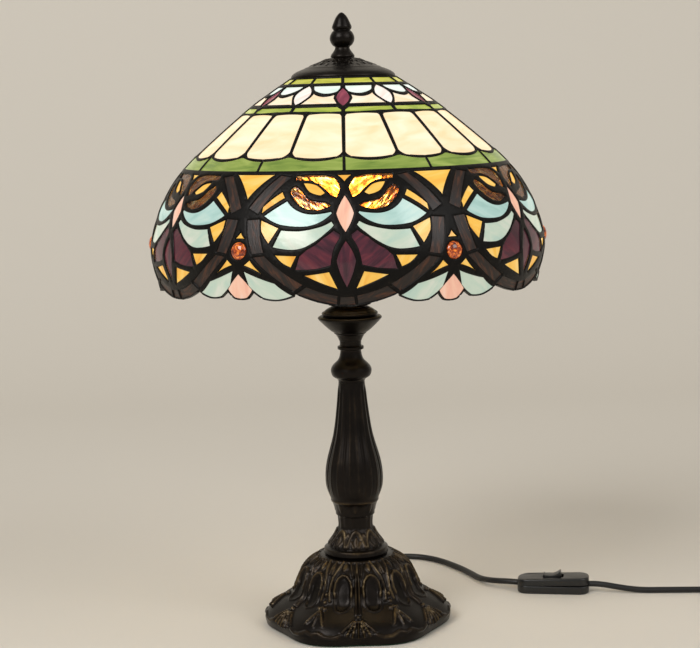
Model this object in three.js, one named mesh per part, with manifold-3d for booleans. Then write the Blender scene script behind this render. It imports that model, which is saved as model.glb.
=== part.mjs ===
// Stained glass table lamp: a lobed cast base with a turned stem, a lampholder and a harp that
// carries a leaded glass shade, and a flex with an inline rocker switch, a coil and a plug.
// Millimetres, +Z up. The origin is the centre of the rest face, and the lamp's front faces -Y.
import * as THREE from 'three';
import { mergeVertices } from 'three/addons/utils/BufferGeometryUtils.js';
import Module from 'manifold-3d';

const wasm = await Module();
wasm.setup();

// ---------------------------------------------------------------- driving dimensions
const TAU = Math.PI * 2;
const GAP = 0.3; // clearance between pieces that touch

// Base
const BASE_RADIUS = 74.8; // over the lobes of the foot
const BASE_LOBES = 6;
const LOBE_DEPTH = 5.2;
const BASE_HEIGHT = 55; // from the foot's rim to the collar's seat
const BASE_WALL = 4;
const SEAT_RADIUS = 28; // raised ring that the collar stands on
const FELT_THICKNESS = 1.2;
const FELT_INSET = 3;
const WEIGHT_HEIGHT = 13;

// Stem
const COLLAR_HEIGHT = 31.8;
const COLLAR_RADIUS = 25.7;
const WAIST_RADIUS = 14.2;
const BALUSTER_HEIGHT = 107;
const BALUSTER_RADIUS = 22.8;
const KNOP_HEIGHT = 32.2;
const KNOP_RADIUS = 16.2;
const CUP_HEIGHT = 27.2;
const CUP_RADIUS = 25.3;
const STEM_WALL = 3;
const ROD_RADIUS = 4.9;
const ROD_BORE = 3.3;
const ROD_END = 16; // height of the rod's lower end above the rest face
const NUT_HEIGHT = 5.5;
const NUT_FLATS = 16;
const WASHER_RADIUS = 11;
const WASHER_THICKNESS = 1.2;

// Lampholder and bulb
const HOLDER_RADIUS = 19.5;
const HOLDER_CAP_HEIGHT = 18;
const HOLDER_SHELL_HEIGHT = 31;
const HOLDER_WALL = 1.2;
const BULB_CAP_RADIUS = 13.2;
const BULB_CAP_LENGTH = 25.5;
const BULB_RADIUS = 30;
const BULB_GLASS_HEIGHT = 83;
const BULB_WALL = 1;

// Harp
const SADDLE_SPAN = 48; // between the two ears
const SADDLE_DEPTH = 2 * ROD_RADIUS + 4;
const SADDLE_THICKNESS = 1.5;
const EAR_HEIGHT = 10;
const EAR_WIDTH = 8;
const TONGUE_HEIGHT = 7;
const TONGUE_WIDTH = 2.6;
const HARP_WIRE = 1.6; // wire radius
const HARP_HEIGHT = 165.2; // from the ears' tongues to the top of the loop
const HARP_HALF_WIDTH = 48;
const HARP_STRAIGHT = 24; // upright foot of each leg, which the ferrule slides on
const FERRULE_WALL = 1.1;
const FERRULE_HEIGHT = 12;
const STUD_RADIUS = 3;
const STUD_LENGTH = 14;
const STUD_SEAT_RADIUS = 11;
const STUD_SEAT_THICKNESS = 2;
const STUD_NECK = 3;

// Cap and finial
const CAP_RADIUS = 40.4;
const CAP_FLAT_RADIUS = 12;
const CAP_THICKNESS = 2.4;
const CAP_DROP = 15.5; // from the cap's top to its rim
const FINIAL_HEIGHT = 34.3;
const FINIAL_RADIUS = 9.5;

// Shade
const SHADE_RADIUS = 153;
const SHADE_TOP_RADIUS = 40.6;
const SHADE_HEIGHT = 160.5;
const GLASS_THICKNESS = 3;
const SHADE_SIDES = 48; // facets round the shade
const MEDALLIONS = 6;
const TOP_GREEN_DROP = 5.2; // height below the crown's top edge where each band ends
const CROWN_RING_DROP = 21;
const UPPER_GREEN_DROP = 25.3;
const CREAM_DROP = 58;
const LOWER_GREEN_DROP = 67.2;
const SCALLOP = 5.5; // rise of the notches in the lower edge
const JEWEL_RADIUS = 6.7;
const JEWEL_THICKNESS = 5;
const JEWEL_DROP = 124;
const TOP_RING_WALL = 2.2;
const TOP_RING_HEIGHT = 6;

// Flex, switch and plug
const CORD_RADIUS = 2.5;
const CORD_LIE = CORD_RADIUS + 0.1; // height of the flex's centre where it lies
const EXIT_HEIGHT = 8.5;
const BUSH_RADIUS = 4.6;
const BUSH_TIP_RADIUS = 3.6;
const BUSH_LENGTH = 26;
const BUSH_DEPTH = 10; // how far its flange lies behind the wall at the rim
const SWITCH_LENGTH = 60;
const SWITCH_WIDTH = 22;
const SWITCH_HEIGHT = 14;
const SWITCH_WALL = 1.6;
const SWITCH_LIE = 0.1;
const SWITCH_PLACE = [166, 66.5];
const SWITCH_TURN = -10; // degrees from +X
const ROCKER_LENGTH = 17;
const ROCKER_WIDTH = 9;
const ROCKER_TILT = 11; // degrees each side of level
const SWITCH_FLOOR = 3;
const SCREW_RADIUS = 1.5;
const SCREW_HEAD_RADIUS = 2.7;
const SCREW_HEAD = 1.6;
const CLAMP_HEIGHT = 2;
const COIL_CENTRE = [332, 12.25];
const COIL_RADIUS = 30; // to the middle of the turns
const COIL_TURNS_WIDE = 4;
const COIL_LAYERS = 2;
const PLUG_LENGTH = 36;
const PLUG_WIDTH = 26;
const PLUG_THICKNESS = 13;
const PLUG_PLACE = [364.5, -55]; // centre of the plug's cord end
const PLUG_TURN = -101; // degrees from +X, the way the pins point
const PLUG_RELIEF_LENGTH = 22;
const PIN_RADIUS = 2.4;
const PIN_LENGTH = 19;
const PIN_SPACING = 19;

// Heights that follow from the sizes above
const RIM_Z = FELT_THICKNESS + GAP;
const SEAT_Z = RIM_Z + BASE_HEIGHT;
const COLLAR_Z = SEAT_Z + GAP;
const BALUSTER_Z = COLLAR_Z + COLLAR_HEIGHT + GAP;
const KNOP_Z = BALUSTER_Z + BALUSTER_HEIGHT + GAP;
const CUP_Z = KNOP_Z + KNOP_HEIGHT + GAP;
const SADDLE_Z = CUP_Z + CUP_HEIGHT + GAP;
const HOLDER_Z = SADDLE_Z + SADDLE_THICKNESS + GAP;
const SHELL_Z = HOLDER_Z + HOLDER_CAP_HEIGHT + GAP;
const EAR_TOP = SADDLE_Z + SADDLE_THICKNESS + EAR_HEIGHT;
const HARP_Z = EAR_TOP + TONGUE_HEIGHT + GAP;
const HARP_TOP = HARP_Z + HARP_HEIGHT;
const STUD_Z = HARP_TOP + HARP_WIRE + GAP;
const CAP_UNDERSIDE = STUD_Z + STUD_NECK + STUD_SEAT_THICKNESS + GAP;
const CAP_TOP = CAP_UNDERSIDE + CAP_THICKNESS;
const FINIAL_Z = CAP_TOP + GAP;
const SHADE_TOP = CAP_TOP - CAP_DROP - GAP;
const NUT_Z = ROD_END + 1;
const WASHER_Z = NUT_Z + NUT_HEIGHT + GAP;
const WEIGHT_Z = WASHER_Z + WASHER_THICKNESS + GAP;
const BOSS_Z = WEIGHT_Z + WEIGHT_HEIGHT + GAP;
const ROD_TOP = HOLDER_Z + 8;
const INSERT_Z = SHELL_Z - 4;
const BULB_CAP_Z = INSERT_Z + 5;
const BULB_GLASS_Z = BULB_CAP_Z + BULB_CAP_LENGTH + GAP;
const ROD_HOLE = ROD_RADIUS + GAP;

// ---------------------------------------------------------------- materials
function finish(color, roughness, metalness = 0) {
  return new THREE.MeshStandardMaterial({ color, roughness, metalness });
}

const BRONZE = finish(0x2b2119, 0.42, 0.8);
const STEEL = finish(0x9a9a98, 0.4, 0.9);
const IRON = finish(0x3c3b3a, 0.8, 0.6);
const BRASS = finish(0xb08d4a, 0.35, 0.9);
const FELT = finish(0x24452f, 0.95);
const RUBBER = finish(0x141414, 0.7);
const PLASTIC = finish(0x161616, 0.35);
const PORCELAIN = finish(0xe9e4d8, 0.3);
const BULB_GLASS = finish(0xfff3dd, 0.25);
const GREEN_GLASS = finish(0xa9be45, 0.25);
const CROWN_GLASS = finish(0xe9d8d0, 0.25);
const CREAM_GLASS = finish(0xfff0d2, 0.25);
const MEDALLION_GLASS = finish(0xb9a06a, 0.25);
const AMBER_GLASS = finish(0xc8621e, 0.15);

// ---------------------------------------------------------------- geometry tools
const lamp = new THREE.Group();

function place(name, geometry, material, parent = lamp) {
  const mesh = new THREE.Mesh(geometry, material);
  mesh.name = name;
  parent.add(mesh);
  return mesh;
}

function radians(degrees) {
  return (degrees * Math.PI) / 180;
}

// A solid of revolution about Z. The profile's [radius, height] points run anticlockwise: out along
// the bottom, up the outside. A profile that doesn't start on the axis is closed on itself.
function turned(profile, sides) {
  const points = profile.map(([radius, height]) => new THREE.Vector2(radius, height));
  if (profile[0][0] > 0) points.push(points[0].clone());
  return new THREE.LatheGeometry(points, sides).rotateX(Math.PI / 2);
}

// Points along a smooth outline through [radius, height] keys.
function smooth(keys, count) {
  const curve = new THREE.SplineCurve(keys.map(([radius, height]) => new THREE.Vector2(radius, height)));
  return curve.getPoints(count).map((point) => [point.x, point.y]);
}

// A hollow turned casting: the wall follows every third point of the outline, and each end closes
// down to the bore.
function hollowTurned(outline, wall, bore, sides) {
  const low = outline[0][1];
  const high = outline[outline.length - 1][1];
  const inner = outline
    .filter(([, height], i) => i % 3 === 1 && height > low + wall && height < high - wall)
    .map(([radius, height]) => [Math.max(bore, radius - wall), height])
    .reverse();
  const ends = [[bore, high], [bore, high - wall], ...inner, [bore, low + wall], [bore, low]];
  return turned([...outline, ...ends], sides);
}

function circle(radius, sides) {
  const points = [];
  for (let i = 0; i < sides; i++) {
    const turn = ((i + 0.5) / sides) * TAU;
    points.push(new THREE.Vector2(radius * Math.cos(turn), radius * Math.sin(turn)));
  }
  return new THREE.Shape(points);
}

// A rectangle with rounded corners, centred on the origin.
function roundedRectangle(length, width, corner, cornerSteps = 4) {
  const points = [];
  const centres = [[1, 1], [-1, 1], [-1, -1], [1, -1]];
  centres.forEach(([sx, sy], quarter) => {
    for (let i = 0; i <= cornerSteps; i++) {
      const turn = ((quarter + i / cornerSteps) * Math.PI) / 2;
      const x = sx * (length / 2 - corner) + corner * Math.cos(turn);
      const y = sy * (width / 2 - corner) + corner * Math.sin(turn);
      points.push(new THREE.Vector2(x, y));
    }
  });
  return new THREE.Shape(points);
}

function prism(shape, low, high) {
  const depth = high - low;
  return new THREE.ExtrudeGeometry(shape, { depth, bevelEnabled: false }).translate(0, 0, low);
}

function tube(points, radius, sides, steps) {
  const path = new THREE.CatmullRomCurve3(points.map((point) => new THREE.Vector3(...point)));
  return new THREE.ExtrudeGeometry(circle(radius, sides), { extrudePath: path, steps });
}

function block(width, depth, height, x, y, z) {
  return new THREE.BoxGeometry(width, depth, height).translate(x, y, z);
}

function solid(geometry) {
  const bare = geometry.index ? geometry.toNonIndexed() : geometry.clone();
  bare.deleteAttribute('normal');
  bare.deleteAttribute('uv');
  const merged = mergeVertices(bare, 1e-4);
  const vertProperties = merged.attributes.position.array;
  const triVerts = new Uint32Array(merged.index.array);
  return new wasm.Manifold(new wasm.Mesh({ numProp: 3, vertProperties, triVerts }));
}

function geometryOf(body) {
  const mesh = body.getMesh();
  const position = new THREE.BufferAttribute(new Float32Array(mesh.vertProperties), 3);
  const index = new THREE.BufferAttribute(new Uint32Array(mesh.triVerts), 1);
  return new THREE.BufferGeometry().setAttribute('position', position).setIndex(index);
}

function cut(geometry, ...cutters) {
  return geometryOf(cutters.reduce((body, cutter) => body.subtract(solid(cutter)), solid(geometry)));
}

function join(...pieces) {
  return geometryOf(pieces.map(solid).reduce((body, piece) => body.add(piece)));
}

// A closed slab whose unit box is bent onto a surface: bend(across, up, out) gives each corner.
function bentSlab(acrossSteps, upSteps, bend) {
  const geometry = new THREE.BoxGeometry(1, 1, 1, acrossSteps, upSteps, 1);
  const position = geometry.attributes.position;
  for (let i = 0; i < position.count; i++) {
    const corner = bend(position.getX(i) + 0.5, position.getY(i) + 0.5, position.getZ(i) + 0.5);
    position.setXYZ(i, ...corner);
  }
  return geometry;
}

// ---------------------------------------------------------------- base
// How far the foot's plan is drawn in between its lobes, fading out towards the shoulder.
function lobed(geometry) {
  const position = geometry.attributes.position;
  for (let i = 0; i < position.count; i++) {
    const x = position.getX(i);
    const y = position.getY(i);
    const radius = Math.hypot(x, y);
    const spread = THREE.MathUtils.smoothstep(radius, SEAT_RADIUS, BASE_RADIUS);
    const turn = Math.atan2(x, -y);
    const draw = (spread * LOBE_DEPTH * (1 + Math.cos(BASE_LOBES * turn))) / 2;
    const scale = radius > 0 ? (radius - draw) / radius : 1;
    position.setXY(i, x * scale, y * scale);
  }
  return geometry;
}

// Outer outline of the bell from the rim to the seat, as [radius, height].
function baseOutline(inset) {
  const flare = BASE_RADIUS - SEAT_RADIUS;
  const keys = [
    [0.98, 0], [1, 0.1], [0.955, 0.19], [0.85, 0.28], [0.68, 0.375], [0.5, 0.47],
    [0.4, 0.64], [0.31, 0.8], [0.2, 0.905], [0.06, 0.975],
  ].map(([out, up]) => [SEAT_RADIUS + flare * out - inset, RIM_Z + BASE_HEIGHT * up]);
  return smooth(keys, 10);
}

function baseCasting() {
  const underside = SEAT_Z - BASE_WALL;
  const inner = baseOutline(BASE_WALL)
    .filter(([, height], i) => i % 2 === 0 && height < underside)
    .reverse();
  const profile = [
    ...baseOutline(0),
    [SEAT_RADIUS, SEAT_Z - 1.4],
    [SEAT_RADIUS, SEAT_Z],
    [ROD_HOLE, SEAT_Z],
    [ROD_HOLE, BOSS_Z],
    [ROD_HOLE + BASE_WALL, BOSS_Z],
    [ROD_HOLE + BASE_WALL, underside],
    ...inner,
  ];
  const bell = lobed(turned(profile, 8 * BASE_LOBES));
  const leadHole = prism(circle(BUSH_RADIUS + GAP, 14), 0, BASE_RADIUS)
    .rotateX(-Math.PI / 2)
    .translate(0, 3 * BASE_WALL, EXIT_HEIGHT);
  return cut(bell, leadHole);
}

function baseWeight() {
  const inner = baseOutline(BASE_WALL + LOBE_DEPTH / 2 + 1);
  const within = (height) => inner.reduce((best, point) =>
    Math.abs(point[1] - height) < Math.abs(best[1] - height) ? point : best)[0];
  const top = WEIGHT_Z + WEIGHT_HEIGHT;
  const topRadius = within(top);
  const lowRadius = Math.min(within(WEIGHT_Z), topRadius + WEIGHT_HEIGHT / 2);
  return turned([[ROD_HOLE, WEIGHT_Z], [lowRadius, WEIGHT_Z], [topRadius, top], [ROD_HOLE, top]], 36);
}

place('base_casting', baseCasting(), BRONZE);
place('base_weight', baseWeight(), IRON);
place('felt_pad', lobed(turned([
  [0, 0],
  [BASE_RADIUS - FELT_INSET, 0],
  [BASE_RADIUS - FELT_INSET, FELT_THICKNESS],
  [0, FELT_THICKNESS],
], 48)), FELT);

// ---------------------------------------------------------------- rod, nut and washer
place('threaded_rod', turned([
  [ROD_BORE, ROD_END], [ROD_RADIUS, ROD_END], [ROD_RADIUS, ROD_TOP], [ROD_BORE, ROD_TOP],
], 16), STEEL);

const hexagon = circle(NUT_FLATS / Math.sqrt(3), 6);
place('bottom_nut', cut(
  prism(hexagon, NUT_Z, NUT_Z + NUT_HEIGHT),
  prism(circle(ROD_HOLE, 16), NUT_Z - 1, NUT_Z + NUT_HEIGHT + 1),
), STEEL);
place('bottom_washer', turned([
  [ROD_HOLE, WASHER_Z], [WASHER_RADIUS, WASHER_Z],
  [WASHER_RADIUS, WASHER_Z + WASHER_THICKNESS], [ROD_HOLE, WASHER_Z + WASHER_THICKNESS],
], 20), STEEL);

// ---------------------------------------------------------------- stem castings
function stemPiece(name, low, height, keys, count) {
  const outline = smooth(keys.map(([radius, up]) => [radius, low + height * up]), count);
  place(name, hollowTurned(outline, STEM_WALL, ROD_HOLE, 20), BRONZE);
}

stemPiece('base_collar', COLLAR_Z, COLLAR_HEIGHT, [
  [COLLAR_RADIUS - 0.6, 0], [COLLAR_RADIUS, 0.08], [COLLAR_RADIUS - 3, 0.23],
  [COLLAR_RADIUS - 8.2, 0.44], [WAIST_RADIUS, 0.66], [WAIST_RADIUS, 0.92], [WAIST_RADIUS + 0.6, 1],
], 10);
stemPiece('stem_baluster', BALUSTER_Z, BALUSTER_HEIGHT, [
  [WAIST_RADIUS + 1.3, 0], [WAIST_RADIUS + 2, 0.055], [BALUSTER_RADIUS - 1.2, 0.175],
  [BALUSTER_RADIUS, 0.28], [BALUSTER_RADIUS - 1.5, 0.405], [WAIST_RADIUS + 1.2, 0.61],
  [WAIST_RADIUS - 2, 0.82], [10.4, 1],
], 13);
stemPiece('stem_knop', KNOP_Z, KNOP_HEIGHT, [
  [10.4, 0], [11, 0.06], [KNOP_RADIUS - 1, 0.19], [KNOP_RADIUS, 0.28], [KNOP_RADIUS - 1, 0.37],
  [10.4, 0.52], [8.4, 0.69], [9.8, 0.8], [9.8, 0.87], [8.6, 0.95], [8.6, 1],
], 16);
stemPiece('socket_cup', CUP_Z, CUP_HEIGHT, [
  [8.8, 0], [CUP_RADIUS - 10.8, 0.27], [CUP_RADIUS - 3.9, 0.46], [CUP_RADIUS, 0.63],
  [CUP_RADIUS - 0.4, 0.71], [CUP_RADIUS - 5, 0.77], [CUP_RADIUS - 5.4, 0.84],
  [CUP_RADIUS - 8.3, 0.9], [CUP_RADIUS - 11, 1],
], 14);

// ---------------------------------------------------------------- lampholder and bulb
const holderInner = HOLDER_RADIUS - HOLDER_WALL;
place('lampholder_cap', turned([
  [ROD_HOLE, HOLDER_Z], [7.5, HOLDER_Z], [7.5, HOLDER_Z + 3], [14, HOLDER_Z + 4],
  [HOLDER_RADIUS, HOLDER_Z + 9], [HOLDER_RADIUS, HOLDER_Z + HOLDER_CAP_HEIGHT],
  [holderInner, HOLDER_Z + HOLDER_CAP_HEIGHT], [holderInner, HOLDER_Z + 9.6],
  [13.4, HOLDER_Z + 5.3], [ROD_HOLE, HOLDER_Z + 5.3],
], 20), BRASS);

const mouthRadius = BULB_CAP_RADIUS + 2;
place('lampholder_shell', turned([
  [holderInner, SHELL_Z], [HOLDER_RADIUS, SHELL_Z],
  [HOLDER_RADIUS, SHELL_Z + HOLDER_SHELL_HEIGHT - 1.5],
  [HOLDER_RADIUS - 1.5, SHELL_Z + HOLDER_SHELL_HEIGHT],
  [mouthRadius, SHELL_Z + HOLDER_SHELL_HEIGHT],
  [mouthRadius, SHELL_Z + HOLDER_SHELL_HEIGHT - HOLDER_WALL],
  [holderInner, SHELL_Z + HOLDER_SHELL_HEIGHT - HOLDER_WALL],
], 20), BRASS);

const insertBore = BULB_CAP_RADIUS + GAP;
const insertRadius = holderInner - GAP;
const insertTop = SHELL_Z + HOLDER_SHELL_HEIGHT - HOLDER_WALL - GAP;
const contactHole = 3.4;
place('lampholder_insert', turned([
  [contactHole, INSERT_Z], [insertRadius, INSERT_Z], [insertRadius, insertTop],
  [insertBore, insertTop], [insertBore, INSERT_Z + 3], [contactHole, INSERT_Z + 3],
], 20), PORCELAIN);
place('centre_contact', turned([
  [0, INSERT_Z - 3], [contactHole - GAP, INSERT_Z - 3],
  [contactHole - GAP, BULB_CAP_Z - GAP], [0, BULB_CAP_Z - GAP],
], 10), BRASS);

place('bulb_cap', turned([
  [0, BULB_CAP_Z], [5, BULB_CAP_Z], [BULB_CAP_RADIUS, BULB_CAP_Z + 5],
  [BULB_CAP_RADIUS, BULB_CAP_Z + BULB_CAP_LENGTH], [0, BULB_CAP_Z + BULB_CAP_LENGTH],
], 20), STEEL);

function bulbGlass() {
  const neck = BULB_CAP_RADIUS - 0.4;
  const crown = BULB_GLASS_Z + BULB_GLASS_HEIGHT;
  const equator = crown - BULB_RADIUS;
  const keys = [[neck, BULB_GLASS_Z], [neck + 1, BULB_GLASS_Z + 8], [BULB_RADIUS * 0.78, equator - 21],
    [BULB_RADIUS * 0.965, equator - 8]];
  const dome = [];
  for (let i = 0; i < 4; i++) {
    const turn = (i / 4) * (Math.PI / 2);
    dome.push([BULB_RADIUS * Math.cos(turn), equator + BULB_RADIUS * Math.sin(turn)]);
  }
  const outer = [...smooth(keys, 4), ...dome];
  const inner = outer.map(([radius, height]) => [
    radius - BULB_WALL,
    Math.min(height, crown - BULB_WALL - (radius / BULB_RADIUS) * 0.5),
  ]).reverse();
  return turned([[0, crown - BULB_WALL], ...inner, ...outer, [0, crown]], 16);
}

place('bulb_glass', bulbGlass(), BULB_GLASS);

// ---------------------------------------------------------------- harp
const earCentre = SADDLE_SPAN / 2;
const saddlePieces = [
  block(SADDLE_SPAN + SADDLE_THICKNESS, SADDLE_DEPTH, SADDLE_THICKNESS, 0, 0, SADDLE_Z + SADDLE_THICKNESS / 2),
];
for (const side of [-1, 1]) {
  const earHeight = SADDLE_THICKNESS + EAR_HEIGHT;
  const tongueHeight = earHeight + TONGUE_HEIGHT;
  const x = side * earCentre;
  saddlePieces.push(block(SADDLE_THICKNESS, EAR_WIDTH, earHeight, x, 0, SADDLE_Z + earHeight / 2));
  saddlePieces.push(block(SADDLE_THICKNESS, TONGUE_WIDTH, tongueHeight, x, 0, SADDLE_Z + tongueHeight / 2));
}
place('harp_saddle', cut(
  join(...saddlePieces),
  prism(circle(ROD_HOLE, 16), SADDLE_Z - 1, SADDLE_Z + SADDLE_THICKNESS + 1),
), BRASS);

function harpWire() {
  const half = [
    [earCentre, HARP_Z], [earCentre, HARP_Z + HARP_STRAIGHT * 0.5], [earCentre, HARP_Z + HARP_STRAIGHT],
    [HARP_HALF_WIDTH - 4, HARP_Z + HARP_STRAIGHT + 26], [HARP_HALF_WIDTH, HARP_Z + HARP_HEIGHT * 0.5],
    [HARP_HALF_WIDTH - 3, HARP_Z + HARP_HEIGHT * 0.7], [HARP_HALF_WIDTH * 0.66, HARP_TOP - 20],
    [HARP_HALF_WIDTH * 0.3, HARP_TOP - 2.5],
  ];
  const left = half.map(([x, z]) => [-x, 0, z]);
  const right = half.map(([x, z]) => [x, 0, z]).reverse();
  return tube([...left, [0, 0, HARP_TOP], ...right], HARP_WIRE, 6, 56);
}

place('harp', harpWire(), BRASS);
place('harp_stud', turned([
  [0, STUD_Z], [4, STUD_Z], [4, STUD_Z + STUD_NECK], [STUD_SEAT_RADIUS, STUD_Z + STUD_NECK],
  [STUD_SEAT_RADIUS, STUD_Z + STUD_NECK + STUD_SEAT_THICKNESS],
  [STUD_RADIUS, STUD_Z + STUD_NECK + STUD_SEAT_THICKNESS],
  [STUD_RADIUS, STUD_Z + STUD_NECK + STUD_SEAT_THICKNESS + STUD_LENGTH],
  [0, STUD_Z + STUD_NECK + STUD_SEAT_THICKNESS + STUD_LENGTH],
], 16), BRASS);

const ferruleBore = HARP_WIRE + 0.5;
const ferrule = turned([
  [ferruleBore, 0], [ferruleBore + FERRULE_WALL, 0],
  [ferruleBore + FERRULE_WALL, FERRULE_HEIGHT], [ferruleBore, FERRULE_HEIGHT],
], 12);
for (const [name, side] of [['ferrule_left', -1], ['ferrule_right', 1]]) {
  place(name, ferrule.clone(), BRASS).position.set(side * earCentre, 0, EAR_TOP + GAP);
}

// ---------------------------------------------------------------- cap and finial
function crownCap() {
  const rim = CAP_TOP - CAP_DROP;
  const outer = smooth([
    [CAP_RADIUS, rim + CAP_THICKNESS * 0.8], [CAP_RADIUS * 0.84, rim + CAP_DROP * 0.4],
    [CAP_RADIUS * 0.56, rim + CAP_DROP * 0.76], [CAP_FLAT_RADIUS, CAP_TOP],
  ], 6);
  const inner = outer.map(([radius, height]) => [radius - 0.8, height - CAP_THICKNESS]).slice(1);
  inner[inner.length - 1] = [CAP_FLAT_RADIUS - 0.8, CAP_UNDERSIDE];
  return turned([
    [CAP_RADIUS - 3, rim], [CAP_RADIUS, rim], ...outer,
    [STUD_RADIUS + GAP, CAP_TOP], [STUD_RADIUS + GAP, CAP_UNDERSIDE],
    ...inner.reverse(),
  ], 24);
}

place('crown_cap', crownCap(), BRONZE);

function finialTurning() {
  const bore = STUD_RADIUS + GAP;
  const boreTop = STUD_Z + STUD_NECK + STUD_SEAT_THICKNESS + STUD_LENGTH + GAP;
  const keys = [
    [FINIAL_RADIUS - 0.2, 0], [FINIAL_RADIUS, 0.04], [5.8, 0.25], [FINIAL_RADIUS, 0.45], [6.4, 0.62],
    [7.5, 0.715], [5.6, 0.84], [1.6, 0.97],
  ].map(([radius, up]) => [radius, FINIAL_Z + FINIAL_HEIGHT * up]);
  return turned([
    [0, boreTop], [bore, boreTop], [bore, FINIAL_Z], ...smooth(keys, 14), [0, FINIAL_Z + FINIAL_HEIGHT],
  ], 14);
}

place('finial', finialTurning(), BRONZE);

// ---------------------------------------------------------------- shade
// Outline of the glass from the crown's top edge down to the lower edge, as shares of the way from
// the top radius to the widest one, and of the height.
const shadeSpread = SHADE_RADIUS - SHADE_TOP_RADIUS;
const shadeCurve = new THREE.SplineCurve([
  [0, 0], [0.254, 0.118], [0.518, 0.266], [0.747, 0.412], [0.885, 0.545],
  [0.964, 0.675], [1, 0.793], [0.982, 0.892], [0.942, 1],
].map(([out, down]) => new THREE.Vector2(
  SHADE_TOP_RADIUS + shadeSpread * out,
  SHADE_TOP - SHADE_HEIGHT * down,
)));
shadeCurve.arcLengthDivisions = 400;
const shadeSlope = shadeCurve.getLength();

// The point of the glass at a distance down the slope and a depth below the outer face.
function glassPoint(slope, depth) {
  const share = slope / shadeSlope;
  const point = shadeCurve.getPointAt(share);
  const tangent = shadeCurve.getTangentAt(share);
  return [point.x + tangent.y * depth, point.y - tangent.x * depth];
}

// Distance down the slope at which the outline is this far below the crown's top edge.
function slopeAtDrop(drop) {
  let low = 0;
  let high = shadeSlope;
  while (high - low > 1e-4) {
    const middle = (low + high) / 2;
    if (SHADE_TOP - glassPoint(middle, 0)[1] < drop) low = middle;
    else high = middle;
  }
  return low;
}

function glassBand(name, fromDrop, toDrop, rows, material) {
  const from = slopeAtDrop(fromDrop) + GAP / 2;
  const to = slopeAtDrop(toDrop) - GAP / 2;
  const outer = [];
  const inner = [];
  for (let row = 0; row <= rows; row++) {
    const slope = from + ((to - from) * row) / rows;
    outer.unshift(glassPoint(slope, 0));
    inner.push(glassPoint(slope, GLASS_THICKNESS));
  }
  place(name, turned([...outer, ...inner], SHADE_SIDES), material);
}

glassBand('glass_top_green', 0, TOP_GREEN_DROP, 1, GREEN_GLASS);
glassBand('glass_crown_ring', TOP_GREEN_DROP, CROWN_RING_DROP, 1, CROWN_GLASS);
glassBand('glass_upper_green', CROWN_RING_DROP, UPPER_GREEN_DROP, 1, GREEN_GLASS);
glassBand('glass_cream', UPPER_GREEN_DROP, CREAM_DROP, 2, CREAM_GLASS);
glassBand('glass_lower_green', CREAM_DROP, LOWER_GREEN_DROP, 1, GREEN_GLASS);

const topRingOuter = glassPoint(0, GLASS_THICKNESS)[0] - 2 * GAP;
const topRingHigh = CAP_TOP - CAP_DROP - GAP;
place('shade_top_ring', turned([
  [topRingOuter - TOP_RING_WALL, topRingHigh - TOP_RING_HEIGHT],
  [topRingOuter, topRingHigh - TOP_RING_HEIGHT],
  [topRingOuter, topRingHigh],
  [topRingOuter - TOP_RING_WALL, topRingHigh],
], 36), BRASS);

const jewelSlope = slopeAtDrop(JEWEL_DROP);
const jewelTurn = Math.PI / MEDALLIONS;

// Moves a piece made round Z to the place of a jewel, its Z pointing out of the glass.
function atJewel(geometry, turn) {
  const [radius, height] = glassPoint(jewelSlope, GLASS_THICKNESS / 2);
  const tangent = shadeCurve.getTangentAt(jewelSlope / shadeSlope);
  const lean = Math.atan2(tangent.x, -tangent.y);
  return geometry
    .rotateX(Math.PI / 2 - lean)
    .translate(0, -radius, height)
    .rotateZ(turn);
}

// One medallion of the belt, a sixth of the way round, with half of each jewel's seat cut out.
function medallionPanel(index) {
  const middle = (index * TAU) / MEDALLIONS;
  const top = slopeAtDrop(LOWER_GREEN_DROP) + GAP / 2;
  const panel = bentSlab(SHADE_SIDES / MEDALLIONS, 5, (across, up, out) => {
    const share = 2 * across - 1;
    const edge = slopeAtDrop(SHADE_HEIGHT) - (SCALLOP * (1 - Math.cos(share * TAU))) / 2;
    const slope = edge + (top - edge) * up;
    const [radius, height] = glassPoint(slope, GLASS_THICKNESS * (1 - out));
    const turn = middle + share * (jewelTurn - GAP / 2 / radius);
    return [radius * Math.sin(turn), -radius * Math.cos(turn), height];
  });
  const seat = circle(JEWEL_RADIUS + GAP, 14);
  const reach = GLASS_THICKNESS * 3;
  const seats = [-1, 1].map((side) => atJewel(prism(seat, -reach, reach), middle + side * jewelTurn));
  return cut(panel, ...seats);
}

const cabochon = [
  [0, -JEWEL_THICKNESS * 0.35], [JEWEL_RADIUS * 0.9, -JEWEL_THICKNESS * 0.35],
  [JEWEL_RADIUS, 0], [JEWEL_RADIUS * 0.82, JEWEL_THICKNESS * 0.4],
  [JEWEL_RADIUS * 0.45, JEWEL_THICKNESS * 0.62], [0, JEWEL_THICKNESS * 0.68],
];
for (let index = 0; index < MEDALLIONS; index++) {
  place('medallion_' + (index + 1), medallionPanel(index), MEDALLION_GLASS);
  const turn = (index * TAU) / MEDALLIONS + jewelTurn;
  place('jewel_' + (index + 1), atJewel(turned(cabochon, 12), turn), AMBER_GLASS);
}

// ---------------------------------------------------------------- flex inside the lamp
const bushInnerEnd = BASE_RADIUS - LOBE_DEPTH - BASE_WALL - BUSH_DEPTH;
const bushOuterEnd = BASE_RADIUS - LOBE_DEPTH + BUSH_LENGTH;
const cordHole = CORD_RADIUS + GAP;

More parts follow.
